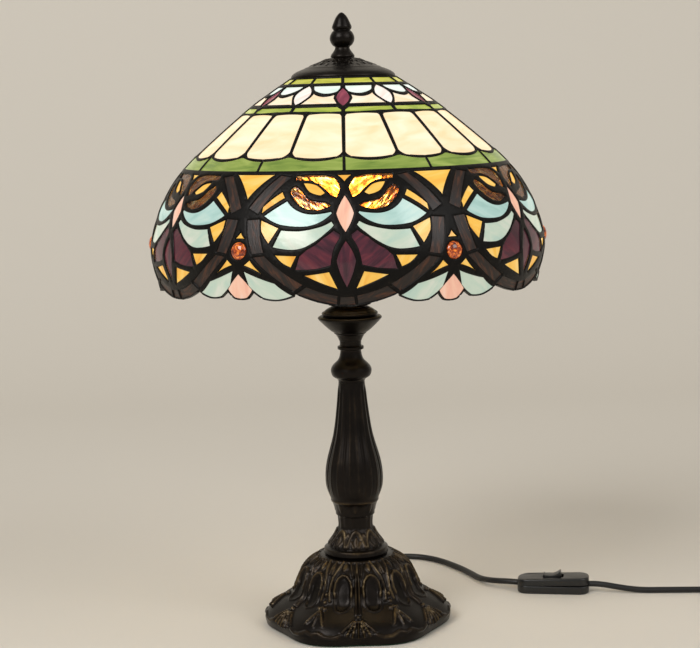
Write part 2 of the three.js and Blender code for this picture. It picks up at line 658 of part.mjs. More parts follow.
place('cord_bush', turned([
  [cordHole, 0], [BUSH_RADIUS + 1.6, 0], [BUSH_RADIUS + 1.6, 1.8], [BUSH_RADIUS, 1.8],
  [BUSH_RADIUS, bushOuterEnd - BUSH_LENGTH - bushInnerEnd + 2],
  [BUSH_TIP_RADIUS, bushOuterEnd - bushInnerEnd], [cordHole, bushOuterEnd - bushInnerEnd],
], 14).rotateX(-Math.PI / 2).translate(0, bushInnerEnd, EXIT_HEIGHT), RUBBER);

const leadBend = ROD_END - EXIT_HEIGHT;
const leadPoints = [];
for (let i = 6; i >= 0; i--) leadPoints.push([0, leadBend + ((bushOuterEnd - leadBend) * i) / 6, EXIT_HEIGHT]);
for (let i = 1; i <= 4; i++) {
  const turn = (i / 4) * (Math.PI / 2);
  leadPoints.push([0, leadBend * (1 - Math.sin(turn)), EXIT_HEIGHT + leadBend * (1 - Math.cos(turn))]);
}
place('lead_under_base', tube(leadPoints, CORD_RADIUS, 8, 26), RUBBER);
place('lead_in_rod', prism(circle(CORD_RADIUS, 8), ROD_END + 2 * GAP, INSERT_Z - 4), RUBBER);

// ---------------------------------------------------------------- inline switch
const switchUnit = new THREE.Group();
switchUnit.position.set(...SWITCH_PLACE, 0);
switchUnit.rotation.z = radians(SWITCH_TURN);
lamp.add(switchUnit);

const switchMiddle = SWITCH_HEIGHT / 2;
const switchCorner = SWITCH_WIDTH * 0.36;
const pocketLength = SWITCH_LENGTH - 2 * SWITCH_WALL;
const pocketWidth = SWITCH_WIDTH - 2 * SWITCH_WALL;
const shellPlan = roundedRectangle(SWITCH_LENGTH, SWITCH_WIDTH, switchCorner);
const pocketPlan = roundedRectangle(pocketLength, pocketWidth, switchCorner - SWITCH_WALL);
const flexBore = prism(circle(cordHole, 10), -SWITCH_LENGTH, SWITCH_LENGTH)
  .rotateY(Math.PI / 2)
  .translate(0, 0, switchMiddle);
const screwPlace = ROCKER_LENGTH / 2 + 2 * SCREW_HEAD_RADIUS + 1;
const screwSides = [-1, 1];

// An upright prism at each screw's place.
function atScrews(radius, low, high) {
  return screwSides.map((side) => prism(circle(radius, 10), low, high).translate(side * screwPlace, 0, 0));
}

place('switch_base', cut(
  prism(shellPlan, SWITCH_LIE, switchMiddle - GAP / 2),
  prism(pocketPlan, SWITCH_LIE + SWITCH_FLOOR, SWITCH_HEIGHT),
  flexBore,
  ...atScrews(SCREW_RADIUS + GAP, 0, SWITCH_HEIGHT),
  ...atScrews(SCREW_HEAD_RADIUS + GAP, 0, SWITCH_LIE + SCREW_HEAD + 2 * GAP),
), PLASTIC, switchUnit);
place('switch_cover', cut(
  prism(shellPlan, switchMiddle + GAP / 2, SWITCH_HEIGHT),
  prism(pocketPlan, 0, SWITCH_HEIGHT - SWITCH_WALL),
  prism(roundedRectangle(ROCKER_LENGTH + 2 * GAP, ROCKER_WIDTH + 2 * GAP, 1), 0, SWITCH_HEIGHT + 1),
  flexBore,
), PLASTIC, switchUnit);

// The rocker's crown is hollowed in the middle so that a thumb finds each end.
function rockerShape() {
  const pivot = SWITCH_HEIGHT - 3.2;
  const side = new THREE.Shape([
    [-0.44, pivot - 1.2], [0, pivot - 2.6], [0.44, pivot - 1.2], [0.44, SWITCH_HEIGHT + 2],
    [0.3, SWITCH_HEIGHT + 1.2], [0, SWITCH_HEIGHT + 0.7], [-0.3, SWITCH_HEIGHT + 1.2],
    [-0.44, SWITCH_HEIGHT + 2],
  ].map(([along, up]) => new THREE.Vector2(ROCKER_LENGTH * along, up - pivot)));
  return prism(side, -ROCKER_WIDTH / 2, ROCKER_WIDTH / 2)
    .rotateX(Math.PI / 2)
    .rotateY(radians(-ROCKER_TILT))
    .translate(0, 0, pivot);
}

place('rocker', rockerShape(), PLASTIC, switchUnit);
place('switch_contact', block(9, 3, 0.8, 0, 0, SWITCH_LIE + SWITCH_FLOOR + GAP + 0.4), BRASS, switchUnit);

const screw = join(
  prism(circle(SCREW_RADIUS, 10), SWITCH_LIE + GAP, SWITCH_HEIGHT - SWITCH_WALL - GAP),
  prism(circle(SCREW_HEAD_RADIUS, 10), SWITCH_LIE + GAP, SWITCH_LIE + GAP + SCREW_HEAD),
);
const clampZ = switchMiddle + CORD_RADIUS + GAP + CLAMP_HEIGHT / 2;
const clampPlace = SWITCH_LENGTH / 2 - SWITCH_WALL - 3.5;
for (const [number, side] of [[1, -1], [2, 1]]) {
  place('switch_screw_' + number, screw.clone(), STEEL, switchUnit).position.x = side * screwPlace;
  place('cord_clamp_' + number, block(3, 10, CLAMP_HEIGHT, 0, 0, clampZ), PLASTIC, switchUnit)
    .position.x = side * clampPlace;
}

// ---------------------------------------------------------------- flex outside the lamp
// A place on the switch's own axis, so far from its middle.
function onSwitchAxis(along) {
  const turn = radians(SWITCH_TURN);
  return [SWITCH_PLACE[0] + along * Math.cos(turn), SWITCH_PLACE[1] + along * Math.sin(turn), switchMiddle];
}

place('cord_to_switch', tube([
  [0, bushOuterEnd + GAP, EXIT_HEIGHT], [0, 108, 8], [0.5, 121, 6.4], [2, 135, 4.2], [6, 149, 2.9],
  [13, 162, CORD_LIE], [24, 173, CORD_LIE], [38, 179.5, CORD_LIE], [53, 178.5, CORD_LIE],
  [66, 171.5, CORD_LIE], [77, 160, CORD_LIE], [86, 146, CORD_LIE], [94, 131.5, CORD_LIE],
  [101, 117, CORD_LIE], [107.5, 103, 2.9], [113.5, 91, 4.2], [120.5, 81.5, 5.8],
  onSwitchAxis(-36), onSwitchAxis(-30), onSwitchAxis(-screwPlace - SCREW_RADIUS - 1),
], CORD_RADIUS, 8, 36), RUBBER);

const coilWide = (COIL_TURNS_WIDE * 2 * CORD_RADIUS) / 2 + 0.3;
const coilOuter = COIL_RADIUS + coilWide;
const coilLine = coilOuter - CORD_RADIUS - 0.3; // centre line of the outermost turn
// How far beside the coil's centre the flex meets it.
const coilReach = Math.sqrt(coilOuter ** 2 - (coilLine - CORD_RADIUS) ** 2) + GAP;
const coilHeight = COIL_LAYERS * 2 * CORD_RADIUS + 0.2;

place('cord_from_switch', tube([
  onSwitchAxis(screwPlace + SCREW_RADIUS + 1), onSwitchAxis(30), onSwitchAxis(36),
  [209, 58.6, 6.4], [218, 57, 5], [228, 55.4, 3.6], [240, 53.9, CORD_LIE], [256, 52.4, CORD_LIE],
  [272, 51.2, CORD_LIE], [290, COIL_CENTRE[1] + coilLine, CORD_LIE],
  [COIL_CENTRE[0] - coilReach, COIL_CENTRE[1] + coilLine, CORD_LIE],
], CORD_RADIUS, 8, 18), RUBBER);

const coilInner = COIL_RADIUS - coilWide;
place('cord_coil', turned([
  [coilInner + 1.5, 0.1], [coilOuter - 1.5, 0.1], [coilOuter, CORD_RADIUS],
  [coilOuter, coilHeight * 0.7], [coilOuter - 2, coilHeight],
  [coilInner + 2, coilHeight], [coilInner, coilHeight * 0.7], [coilInner, CORD_RADIUS],
], 24).translate(...COIL_CENTRE, 0), RUBBER);

// ---------------------------------------------------------------- plug
const plugUnit = new THREE.Group();
plugUnit.position.set(...PLUG_PLACE, PLUG_THICKNESS / 2 + 0.3);
plugUnit.rotation.z = radians(PLUG_TURN);
lamp.add(plugUnit);

const plugPlan = new THREE.Shape([
  [0, -6.5], [PLUG_LENGTH * 0.35, -8.5], [PLUG_LENGTH * 0.7, -PLUG_WIDTH / 2], [PLUG_LENGTH, -PLUG_WIDTH / 2],
  [PLUG_LENGTH, PLUG_WIDTH / 2], [PLUG_LENGTH * 0.7, PLUG_WIDTH / 2], [PLUG_LENGTH * 0.35, 8.5], [0, 6.5],
].map(([along, across]) => new THREE.Vector2(along, across)));
place('plug_body', cut(
  prism(plugPlan, -PLUG_THICKNESS / 2, PLUG_THICKNESS / 2),
  ...[-1, 1].map((side) => prism(circle(PIN_RADIUS + GAP, 12), 0, 8)
    .rotateY(Math.PI / 2)
    .translate(PLUG_LENGTH - 6, (side * PIN_SPACING) / 2, 0)),
), PLASTIC, plugUnit);
for (const [name, side] of [['plug_pin_1', -1], ['plug_pin_2', 1]]) {
  const pin = prism(circle(PIN_RADIUS, 12), 0, PIN_LENGTH + 6 - GAP).rotateY(Math.PI / 2);
  place(name, pin, BRASS, plugUnit).position.set(PLUG_LENGTH - 6 + GAP, (side * PIN_SPACING) / 2, 0);
}
place('plug_relief', turned([
  [cordHole, 0], [5.2, 0], [3.5, PLUG_RELIEF_LENGTH], [cordHole, PLUG_RELIEF_LENGTH],
], 12).rotateY(-Math.PI / 2).translate(-GAP, 0, 0), RUBBER, plugUnit);

function behindPlug(back) {
  const turn = radians(PLUG_TURN);
  return [
    PLUG_PLACE[0] - back * Math.cos(turn),
    PLUG_PLACE[1] - back * Math.sin(turn),
    PLUG_THICKNESS / 2 + 0.3,
  ];
}

place('cord_to_plug', tube([
  [COIL_CENTRE[0] + coilLine, COIL_CENTRE[1] - coilReach, 6.6],
  behindPlug(PLUG_RELIEF_LENGTH + 12), behindPlug(PLUG_RELIEF_LENGTH), behindPlug(GAP),
], CORD_RADIUS, 8, 10), RUBBER);

export default lamp;
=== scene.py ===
import math

import bpy
import numpy as np
from mathutils import Matrix, Vector
from mathutils.geometry import delaunay_2d_cdt


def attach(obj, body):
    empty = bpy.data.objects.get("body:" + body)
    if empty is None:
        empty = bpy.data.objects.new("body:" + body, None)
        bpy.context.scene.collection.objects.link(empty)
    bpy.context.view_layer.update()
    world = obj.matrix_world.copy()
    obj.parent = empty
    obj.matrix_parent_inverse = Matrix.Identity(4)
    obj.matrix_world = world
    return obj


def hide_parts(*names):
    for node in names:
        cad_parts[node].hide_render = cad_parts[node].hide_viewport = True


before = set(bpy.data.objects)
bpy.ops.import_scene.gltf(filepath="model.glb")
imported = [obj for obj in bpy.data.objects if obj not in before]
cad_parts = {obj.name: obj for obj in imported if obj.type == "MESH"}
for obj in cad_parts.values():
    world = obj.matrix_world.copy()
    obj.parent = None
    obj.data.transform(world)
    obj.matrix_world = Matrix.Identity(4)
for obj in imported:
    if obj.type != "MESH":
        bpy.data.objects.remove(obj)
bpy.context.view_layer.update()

# ------------------------------------------------------------------ camera
# Stands in front of the lamp, a little above the middle of the shade, and looks down at it
# slightly. It leans over by a degree and a half.
SENSOR_WIDTH = 36
LENS_LENGTH = SENSOR_WIDTH * 17 / 7
CAMERA_PLACE = (0.0, -1.332, 0.417)
LOOK_DOWN = 7.5
LEAN = 1.59
camera_data = bpy.data.cameras.new("camera")
camera_data.sensor_width = SENSOR_WIDTH
camera_data.lens = LENS_LENGTH
camera = bpy.data.objects.new("camera", camera_data)
bpy.context.scene.collection.objects.link(camera)
camera.matrix_world = (
    Matrix.Translation(CAMERA_PLACE)
    @ Matrix.Rotation(math.radians(90 - LOOK_DOWN), 4, "X")
    @ Matrix.Rotation(math.radians(-LEAN), 4, "Z")
)
bpy.context.scene.camera = camera
bpy.context.scene.view_settings.view_transform = "Standard"

# ------------------------------------------------------------------ cast foot
# The foot is a heavy bell of cast zinc alloy with a dark bronze patina. Its six lobes, ribs,
# arched panels, drop leaves and fans come straight from the mould, and the patina is rubbed
# back a little where hands touch it.
MM = 0.001
RIM_Z = 1.5
FOOT_HEIGHT = 55.0
FOOT_RADIUS = 74.8
SEAT_RADIUS = 28.0
LOBE_DEPTH = 5.2
ROD_HOLE = 5.2
SEAT_Z = RIM_Z + FOOT_HEIGHT


def linear(hex_colour):
    parts = [int(hex_colour[i : i + 2], 16) / 255 for i in (1, 3, 5)]
    return [p / 12.92 if p <= 0.04045 else ((p + 0.055) / 1.055) ** 2.4 for p in parts] + [1.0]


def add(tree, kind, setup=None, sockets=None, stops=None):
    node = tree.nodes.new("ShaderNode" + kind)
    for name, value in (setup or {}).items():
        setattr(node, name, value)
    for name, value in (sockets or {}).items():
        if isinstance(value, bpy.types.NodeSocket):
            tree.links.new(value, node.inputs[name])
        else:
            node.inputs[name].default_value = value
    for i, (place, colour) in enumerate(stops or []):
        stop = node.color_ramp.elements[i] if i < 2 else node.color_ramp.elements.new(place)
        stop.position = place
        stop.color = colour
    return node


def new_material(name):
    material = bpy.data.materials.new(name)
    material.use_nodes = True
    tree = material.node_tree
    tree.nodes.clear()
    shader = add(tree, "BsdfPrincipled")
    output = add(tree, "OutputMaterial", sockets={"Surface": shader.outputs[0]})
    output.is_active_output = True
    return material, tree, shader


# Cast zinc alloy, bronze patina: nearly black brown, with a soft sheen, a fine grain from the
# mould of about 0.5 mm, and cloudy lighter brown where the patina is thin.
def bronze_patina():
    material, tree, shader = new_material("cast_zinc_bronze_patina")
    place = add(tree, "TexCoord").outputs["Object"]
    clouds = add(tree, "TexNoise", sockets={"Vector": place, "Scale": 70.0, "Detail": 5.0, "Roughness": 0.65})
    grain = add(tree, "TexNoise", sockets={"Vector": place, "Scale": 1600.0, "Detail": 2.0})
    high = add(tree, "Attribute", {"attribute_name": "rubbed"})
    worn = add(
        tree, "Math", {"operation": "MULTIPLY_ADD"},
        {0: high.outputs["Fac"], 1: 0.55, 2: clouds.outputs["Fac"]},
    )
    colour = add(tree, "ValToRGB", sockets={"Fac": worn.outputs[0]}, stops=[
        (0.3, linear("#0f0b08")), (0.62, linear("#19130e")), (0.85, linear("#2e251b")),
        (1.0, linear("#54462f")),
    ])
    rough = add(tree, "MapRange", sockets={"Value": clouds.outputs["Fac"], "To Min": 0.22, "To Max": 0.42})
    bump = add(tree, "Bump", sockets={"Height": grain.outputs["Fac"], "Strength": 0.25, "Distance": 0.0003})
    tree.links.new(colour.outputs[0], shader.inputs["Base Color"])
    tree.links.new(rough.outputs[0], shader.inputs["Roughness"])
    tree.links.new(bump.outputs[0], shader.inputs["Normal"])
    shader.inputs["Metallic"].default_value = 0.75
    return material


BRONZE = bronze_patina()


# Points on a smooth line through the keys, evenly shared between them.
def smooth(keys, count):
    keys = np.array(keys, float)
    last = len(keys) - 1
    at = np.linspace(0, last, count + 1)
    i = np.minimum(at.astype(int), last - 1)
    t = (at - i)[:, None]
    a, b = keys[np.maximum(i - 1, 0)], keys[i]
    c, d = keys[i + 1], keys[np.minimum(i + 2, last)]
    u, v = (c - a) / 2, (d - b) / 2
    return (2 * b - 2 * c + u + v) * t**3 + (3 * c - 3 * b - 2 * u - v) * t**2 + u * t + b


def pick(piece, mode="OBJECT"):
    if bpy.context.object and bpy.context.object.mode != "OBJECT":
        bpy.ops.object.mode_set(mode="OBJECT")
    bpy.ops.object.select_all(action="DESELECT")
    piece.select_set(True)
    bpy.context.view_layer.objects.active = piece
    if mode == "EDIT":
        bpy.ops.object.mode_set(mode="EDIT")
        bpy.ops.mesh.select_all(action="SELECT")


def from_faces(name, points, edges=(), faces=()):
    mesh = bpy.data.meshes.new(name)
    mesh.from_pydata([tuple(p) for p in points], list(edges), list(faces))
    piece = bpy.data.objects.new(name, mesh)
    bpy.context.scene.collection.objects.link(piece)
    return piece


def places(piece):
    points = np.empty(len(piece.data.vertices) * 3, np.float32)
    piece.data.vertices.foreach_get("co", points)
    return points.reshape(-1, 3).astype(float)


def move_to(piece, points):
    piece.data.vertices.foreach_set("co", np.asarray(points, np.float32).ravel())
    piece.data.update()


# A closed outline of [radius, height] in mm, spun once round the lamp's axis.
def spun(name, outline, steps):
    points = [(r * MM, 0, z * MM) for r, z in outline]
    count = len(points)
    piece = from_faces(name, points, [(i, (i + 1) % count) for i in range(count)])
    pick(piece, "EDIT")
    bpy.ops.mesh.spin(steps=steps, angle=math.tau, center=(0, 0, 0), axis=(0, 0, 1))
    bpy.ops.mesh.select_all(action="SELECT")
    bpy.ops.mesh.remove_doubles(threshold=1e-6)
    bpy.ops.mesh.dissolve_degenerate(threshold=1e-7)
    bpy.ops.mesh.select_all(action="SELECT")
    bpy.ops.mesh.normals_make_consistent(inside=False)
    pick(piece)
    return piece


def soft_shading(piece, degrees=40):
    pick(piece)
    bpy.ops.object.shade_smooth_by_angle(angle=math.radians(degrees))


def finish_piece(piece, material, body, slot_name, *replaced):
    piece.data.materials.clear()
    piece.data.materials.append(material)
    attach(piece, body)
    if replaced:
        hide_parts(*replaced)
    return piece


# How high a raised line stands at each place. Its points are (turn in degrees, distance down
# the slope in mm), and its section is a rounded ridge of the given half width.
def ridge(turn, slope, radius, points, half_width, height, taper=False):
    scale = radius * math.pi / 180
    best = np.zeros_like(turn)
    steps = len(points) - 1
    for i in range(steps):
        (a0, s0), (a1, s1) = points[i], points[i + 1]
        ax, ay = (turn - a0) * scale, slope - s0
        dx, dy = (a1 - a0) * scale, s1 - s0
        t = np.clip((ax * dx + ay * dy) / np.maximum(dx * dx + dy * dy, 1e-9), 0, 1)
        away = np.hypot(ax - t * dx, ay - t * dy)
        along = (i + t) / steps
        width = half_width * (np.sin(np.pi * (0.12 + 0.76 * along)) if taper else 1.0)
        best = np.maximum(best, height * np.cos(np.pi / 2 * np.clip(away / width, 0, 1)) ** 1.2)
    return best


# Finds how high the relief stands at each place of a spun piece. Its inside stays plain.
def find_relief(piece, outside, relief_at):
    points = places(piece) / MM
    radius = np.hypot(points[:, 0], points[:, 1])
    turn = np.degrees(np.arctan2(points[:, 0], -points[:, 1]))
    line = np.array(outside)
    run = np.concatenate([[0], np.cumsum(np.hypot(*np.diff(line, axis=0).T))])
    away = np.hypot(radius[:, None] - line[:, 0], points[:, 2][:, None] - line[:, 1])
    nearest = away.argmin(1)
    on_outside = away[np.arange(len(points)), nearest] < 0.05
    slope = run[nearest]
    relief = np.where(on_outside, relief_at(turn, slope, radius), 0.0)
    return points, radius, turn, relief


# Raises those places along the piece's own normals. The patina is rubbed back most on what
# stands as high as rubbed_at.
def push_out(piece, points, relief, rubbed_at):
    move_to(piece, points * MM)
    normals = np.empty(len(points) * 3, np.float32)
    piece.data.vertices.foreach_get("normal", normals)
    move_to(piece, (points + normals.reshape(-1, 3) * relief[:, None]) * MM)
    rubbed = piece.data.attributes.new("rubbed", "FLOAT", "POINT")
    rubbed.data.foreach_set("value", np.clip(relief / rubbed_at, 0, 1).astype(np.float32))


foot_spread = FOOT_RADIUS - SEAT_RADIUS
foot_outside = smooth([
    (SEAT_RADIUS + foot_spread * out, RIM_Z + FOOT_HEIGHT * up) for out, up in [
        (0.0, 1.0), (0.06, 0.975), (0.2, 0.905), (0.31, 0.8), (0.4, 0.64), (0.5, 0.47),
        (0.68, 0.375), (0.85, 0.28), (0.955, 0.19), (1.0, 0.1), (0.98, 0.0),
    ]
], 118)
foot_inside = smooth([(66, RIM_Z), (64, 12), (56, 19), (44, 25), (38, 40), (30, 50), (ROD_HOLE, 51)], 14)
foot = spun("foot", [*foot_outside, *foot_inside, (ROD_HOLE, SEAT_Z)], 384)


def foot_relief(turn, slope, radius):
    a = np.abs((turn + 30) % 60 - 30)
    parts = [
        ridge(a, slope, radius, [(0, 2), (0.4, 9), (1.7, 22), (1.7, 50)], 1.2, 1.5),
        ridge(a, slope, radius, [(8.5, 2), (6.5, 9), (4.6, 17)], 1.1, 1.2),
        ridge(a, slope, radius, [(19, 2), (22, 9), (26, 18), (27.5, 27), (25.8, 36)], 1.5, 1.9),
        ridge(a, slope, radius, [(30, 2), (29, 8), (28.4, 15)], 1.3, 1.4),
        ridge(a, slope, radius, [(14, 4), (15, 12)], 3.4, 1.6, taper=True),
        ridge(a, slope, radius, [
            (6.2, 32), (5.7, 26), (7.4, 20), (11.2, 16.2), (15.5, 15.4), (19.8, 17.6), (22.4, 22),
            (22.8, 28), (21.5, 32),
        ], 1.5, 1.9),
        ridge(
            a, slope, radius,
            [(6.2, 32), (6.4, 39), (9.5, 45), (14, 47), (18.5, 44.5), (21, 39), (21.5, 32)], 1.2, 0.8,
        ),
        ridge(a, slope, radius, [(30, 31), (30, 31.3)], 2.1, 2.0),
        ridge(a, slope, radius, [(30, 37.5), (30, 37.8)], 2.1, 2.0),
        ridge(a, slope, radius, [(30, 42), (27.6, 44.5), (26, 42.5)], 1.9, 1.8, taper=True),
        ridge(a, slope, radius, [(29.4, 46), (26.8, 53), (23.6, 61)], 2.1, 2.0, taper=True),
        ridge(a, slope, radius, [(30, 46), (30, 62)], 1.7, 1.8, taper=True),
        ridge(a, slope, radius, [(0, 53), (0, 53.3)], 2.4, 2.4),
        ridge(a, slope, radius, [(0, 57), (0, 70)], 1.3, 2.0),
        ridge(a, slope, radius, [(1.4, 57), (4.0, 69.5)], 1.3, 2.0),
        ridge(a, slope, radius, [(2.4, 56.6), (7.6, 68.5)], 1.3, 1.9),
        ridge(a, slope, radius, [(3.2, 56), (10.8, 66)], 1.3, 1.7),
        ridge(a, slope, radius, [(11.5, 68), (16, 70), (21, 69.5), (26, 66.5), (30, 68)], 1.8, 1.2),
    ]
    raised = np.maximum.reduce(parts)
    field = np.hypot((a - 14) * radius * math.pi / 180 / 6.6, (slope - 31) / 15.5)
    sunk = -1.1 * np.clip(1.1 - field, 0, 0.5) / 0.5
    lip = 1.1 * np.exp(-((slope - 2.2) / 1.0) ** 2)
    return np.where(raised > 0.15, raised, sunk) + lip * (raised < 0.5)


points, radius, turn, relief = find_relief(foot, foot_outside, foot_relief)
spread = np.clip((radius - SEAT_RADIUS) / foot_spread, 0, 1)
spread = spread * spread * (3 - 2 * spread)
draw = spread * LOBE_DEPTH * (1 + np.cos(np.radians(6 * turn))) / 2
points[:, :2] *= ((radius - draw) / np.maximum(radius, 1e-6))[:, None]
push_out(foot, points, relief, rubbed_at=2.0)
soft_shading(foot, 60)
finish_piece(foot, BRONZE, "lamp", "cast_bronze", "base_casting")


# Felt, pressed wool glued under the foot: matt, mottled, with short fibres every half millimetre.
def pressed_felt():
    material, tree, shader = new_material("pressed_wool_felt")
    place = add(tree, "TexCoord").outputs["Object"]
    fibres = add(
        tree, "TexNoise", sockets={"Vector": place, "Scale": 2000.0, "Detail": 6.0, "Roughness": 0.8},
    )
    colour = add(tree, "ValToRGB", sockets={"Fac": fibres.outputs["Fac"]}, stops=[
        (0.3, linear("#16301f")), (0.7, linear("#2f5a3c")),
    ])
    bump = add(tree, "Bump", sockets={"Height": fibres.outputs["Fac"], "Strength": 0.7, "Distance": 0.0004})
    tree.links.new(colour.outputs[0], shader.inputs["Base Color"])
    tree.links.new(bump.outputs[0], shader.inputs["Normal"])
    shader.inputs["Roughness"].default_value = 0.95
    shader.inputs["Sheen Weight"].default_value = 0.3
    return material


def coat(material, *names):
    for name in names:
        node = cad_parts[name]
        node.data.materials.clear()
        node.data.materials.append(material)


coat(pressed_felt(), "felt_pad")


# Zinc plated steel: pale grey, bright, with fine turning marks about 0.4 mm apart.
def zinc_steel():
    material, tree, shader = new_material("zinc_plated_steel")
    place = add(tree, "TexCoord").outputs["Object"]
    marks = add(
        tree, "TexWave", {"bands_direction": "Z"}, {"Vector": place, "Scale": 400.0, "Distortion": 1.5},
    )
    cloud = add(tree, "TexNoise", sockets={"Vector": place, "Scale": 300.0, "Detail": 3.0})
    colour = add(tree, "ValToRGB", sockets={"Fac": cloud.outputs["Fac"]}, stops=[
        (0.3, linear("#8f918f")), (0.7, linear("#b9bab6")),
    ])
    bump = add(tree, "Bump", sockets={"Height": marks.outputs["Fac"], "Strength": 0.2, "Distance": 0.0002})
    tree.links.new(colour.outputs[0], shader.inputs["Base Color"])
    tree.links.new(bump.outputs[0], shader.inputs["Normal"])
    shader.inputs["Metallic"].default_value = 1.0
    shader.inputs["Roughness"].default_value = 0.35
    return material


STEEL = zinc_steel()
coat(STEEL, "threaded_rod", "bottom_nut", "bottom_washer")


# Cast iron, left as it comes from the sand: dull dark grey, with a sandy grain of about 1 mm and
# a few rusty spots.
def sand_cast_iron():
    material, tree, shader = new_material("sand_cast_iron")
    place = add(tree, "TexCoord").outputs["Object"]
    sand = add(tree, "TexNoise", sockets={"Vector": place, "Scale": 1000.0, "Detail": 4.0})
    rust = add(tree, "TexNoise", sockets={"Vector": place, "Scale": 90.0, "Detail": 4.0})
    colour = add(tree, "ValToRGB", sockets={"Fac": rust.outputs["Fac"]}, stops=[
        (0.35, linear("#33322f")), (0.6, linear("#45423e")), (0.8, linear("#5b3a26")),
    ])
    bump = add(tree, "Bump", sockets={"Height": sand.outputs["Fac"], "Strength": 0.5, "Distance": 0.0004})
    tree.links.new(colour.outputs[0], shader.inputs["Base Color"])
    tree.links.new(bump.outputs[0], shader.inputs["Normal"])
    shader.inputs["Metallic"].default_value = 0.6
    shader.inputs["Roughness"].default_value = 0.75
    return material


coat(sand_cast_iron(), "base_weight")

# ------------------------------------------------------------------ leaf collar
# A ring of eight curling leaves that overlap, cast in the same alloy. It stands on the seat of
# the foot, and the stem's waist grows out of its leaves.
COLLAR_Z = 56.8
COLLAR_HEIGHT = 31.8
collar_outside = smooth([
    (r, COLLAR_Z + COLLAR_HEIGHT * up) for r, up in [
        (14.8, 1.0), (14.2, 0.92), (14.2, 0.66), (17.5, 0.44), (22.7, 0.23), (25.7, 0.08), (25.1, 0.0),
    ]
], 64)
collar = spun(
    "leaf_collar", [*collar_outside, (ROD_HOLE, COLLAR_Z), (ROD_HOLE, COLLAR_Z + COLLAR_HEIGHT)], 240,
)


def collar_relief(turn, slope, radius):
    a = np.abs((turn + 22.5) % 45 - 22.5)
    leaf = ridge(a, slope, radius, [(0, 12), (8, 13.5), (15, 18), (20, 25)], 2.3, 1.3)
    second = ridge(a, slope, radius, [(22.5, 15), (13, 20), (5, 25.5)], 2.1, 1.0)
    vein = ridge(a, slope, radius, [(22.5, 19), (22.5, 25)], 2.0, 0.9, taper=True)
    inner = ridge(a, slope, radius, [(0, 17), (0, 25)], 3.4, 1.1, taper=True)
    bead = 1.0 * np.exp(-((slope - 30.5) / 1.2) ** 2) - 0.8 * np.exp(-((slope - 27.6) / 0.8) ** 2)
    flute = -0.35 * (1 + np.cos(np.radians(16 * turn))) / 2 * (slope < 11)
    return np.maximum.reduce([leaf, second, vein, inner]) + bead + flute


points, radius, turn, relief = find_relief(collar, collar_outside, collar_relief)
push_out(collar, points, relief, rubbed_at=1.6)
soft_shading(collar, 60)
finish_piece(collar, BRONZE, "lamp", "cast_bronze", "base_collar")

# ------------------------------------------------------------------ baluster
# The long part of the stem is a hollow casting. Eight broad flat flutes run up its belly, with
# two thin lines in each, and a bead and a ring of leaf tips close its lower end.
BALUSTER_Z = 88.9
BALUSTER_HEIGHT = 107.0
baluster_outside = smooth([
    (r, BALUSTER_Z + BALUSTER_HEIGHT * up) for r, up in [
        (10.4, 1.0), (12.2, 0.82), (15.4, 0.61), (21.3, 0.405), (22.8, 0.28),
        (21.2, 0.175), (16.4, 0.062), (15.5, 0.0),
    ]
], 110)
baluster = spun(
    "baluster", [*baluster_outside, (ROD_HOLE, BALUSTER_Z), (ROD_HOLE, BALUSTER_Z + BALUSTER_HEIGHT)], 240,
)


def baluster_relief(turn, slope, radius):
    a = np.abs((turn + 22.5) % 45 - 22.5)
    body = np.clip((slope - 2) / 6, 0, 1) * np.clip((93 - slope) / 8, 0, 1)
    groove = -0.7 * np.exp(-((a - 22.5) * radius * math.pi / 180 / 1.1) ** 2)
    line = 0.4 * np.exp(-((a - 9) * radius * math.pi / 180 / 0.8) ** 2)
    ring = 0.8 * np.exp(-((slope - 97.5) / 1.3) ** 2)
    tips = ridge(a, slope, radius, [(0, 99), (0, 106)], 2.8, 0.5, taper=True)
    return (groove + line) * body + np.maximum(ring, tips)


points, radius, turn, relief = find_relief(baluster, baluster_outside, baluster_relief)
push_out(baluster, points, relief, rubbed_at=1.0)
soft_shading(baluster, 60)
finish_piece(baluster, BRONZE, "lamp", "cast_bronze", "stem_baluster")

# ------------------------------------------------------------------ knop and socket cup
# Two turned castings on the rod: a round knop with a collar above it, and a wide cup with two
# stepped rings that the lampholder sits in.
KNOP_Z = 196.2
KNOP_HEIGHT = 32.2
knop_outside = smooth([
    (r, KNOP_Z + KNOP_HEIGHT * up) for r, up in [
        (8.6, 1.0), (8.5, 0.955), (8.7, 0.885), (10.2, 0.87), (10.4, 0.835), (10.2, 0.8), (8.5, 0.785),
        (8.5, 0.7), (10.0, 0.55), (14.6, 0.4), (16.2, 0.28), (15.0, 0.14), (11.4, 0.06), (10.4, 0.0),
    ]
], 78)
knop = spun("knop", [*knop_outside, (ROD_HOLE, KNOP_Z), (ROD_HOLE, KNOP_Z + KNOP_HEIGHT)], 96)
soft_shading(knop, 60)
finish_piece(knop, BRONZE, "lamp", "cast_bronze", "stem_knop")

CUP_Z = 228.7
CUP_HEIGHT = 27.2
cup_outside = smooth([
    (r, CUP_Z + CUP_HEIGHT * up) for r, up in [
        (14.3, 1.0), (16.2, 0.965), (18.8, 0.91), (20.3, 0.865), (21.6, 0.84), (22.2, 0.805), (21.8, 0.77),
        (20.8, 0.75),
        (21.6, 0.735), (24.2, 0.72), (25.3, 0.68), (24.9, 0.64), (22.4, 0.54), (17.6, 0.37), (14.2, 0.27),
        (12.9, 0.245), (12.7, 0.215), (11.4, 0.18), (9.8, 0.08), (8.8, 0.0),
    ]
], 120)
cup = spun("socket_cup_turned", [*cup_outside, (ROD_HOLE, CUP_Z), (ROD_HOLE, CUP_Z + CUP_HEIGHT)], 128)
soft_shading(cup, 50)
finish_piece(cup, BRONZE, "lamp", "cast_bronze", "socket_cup")


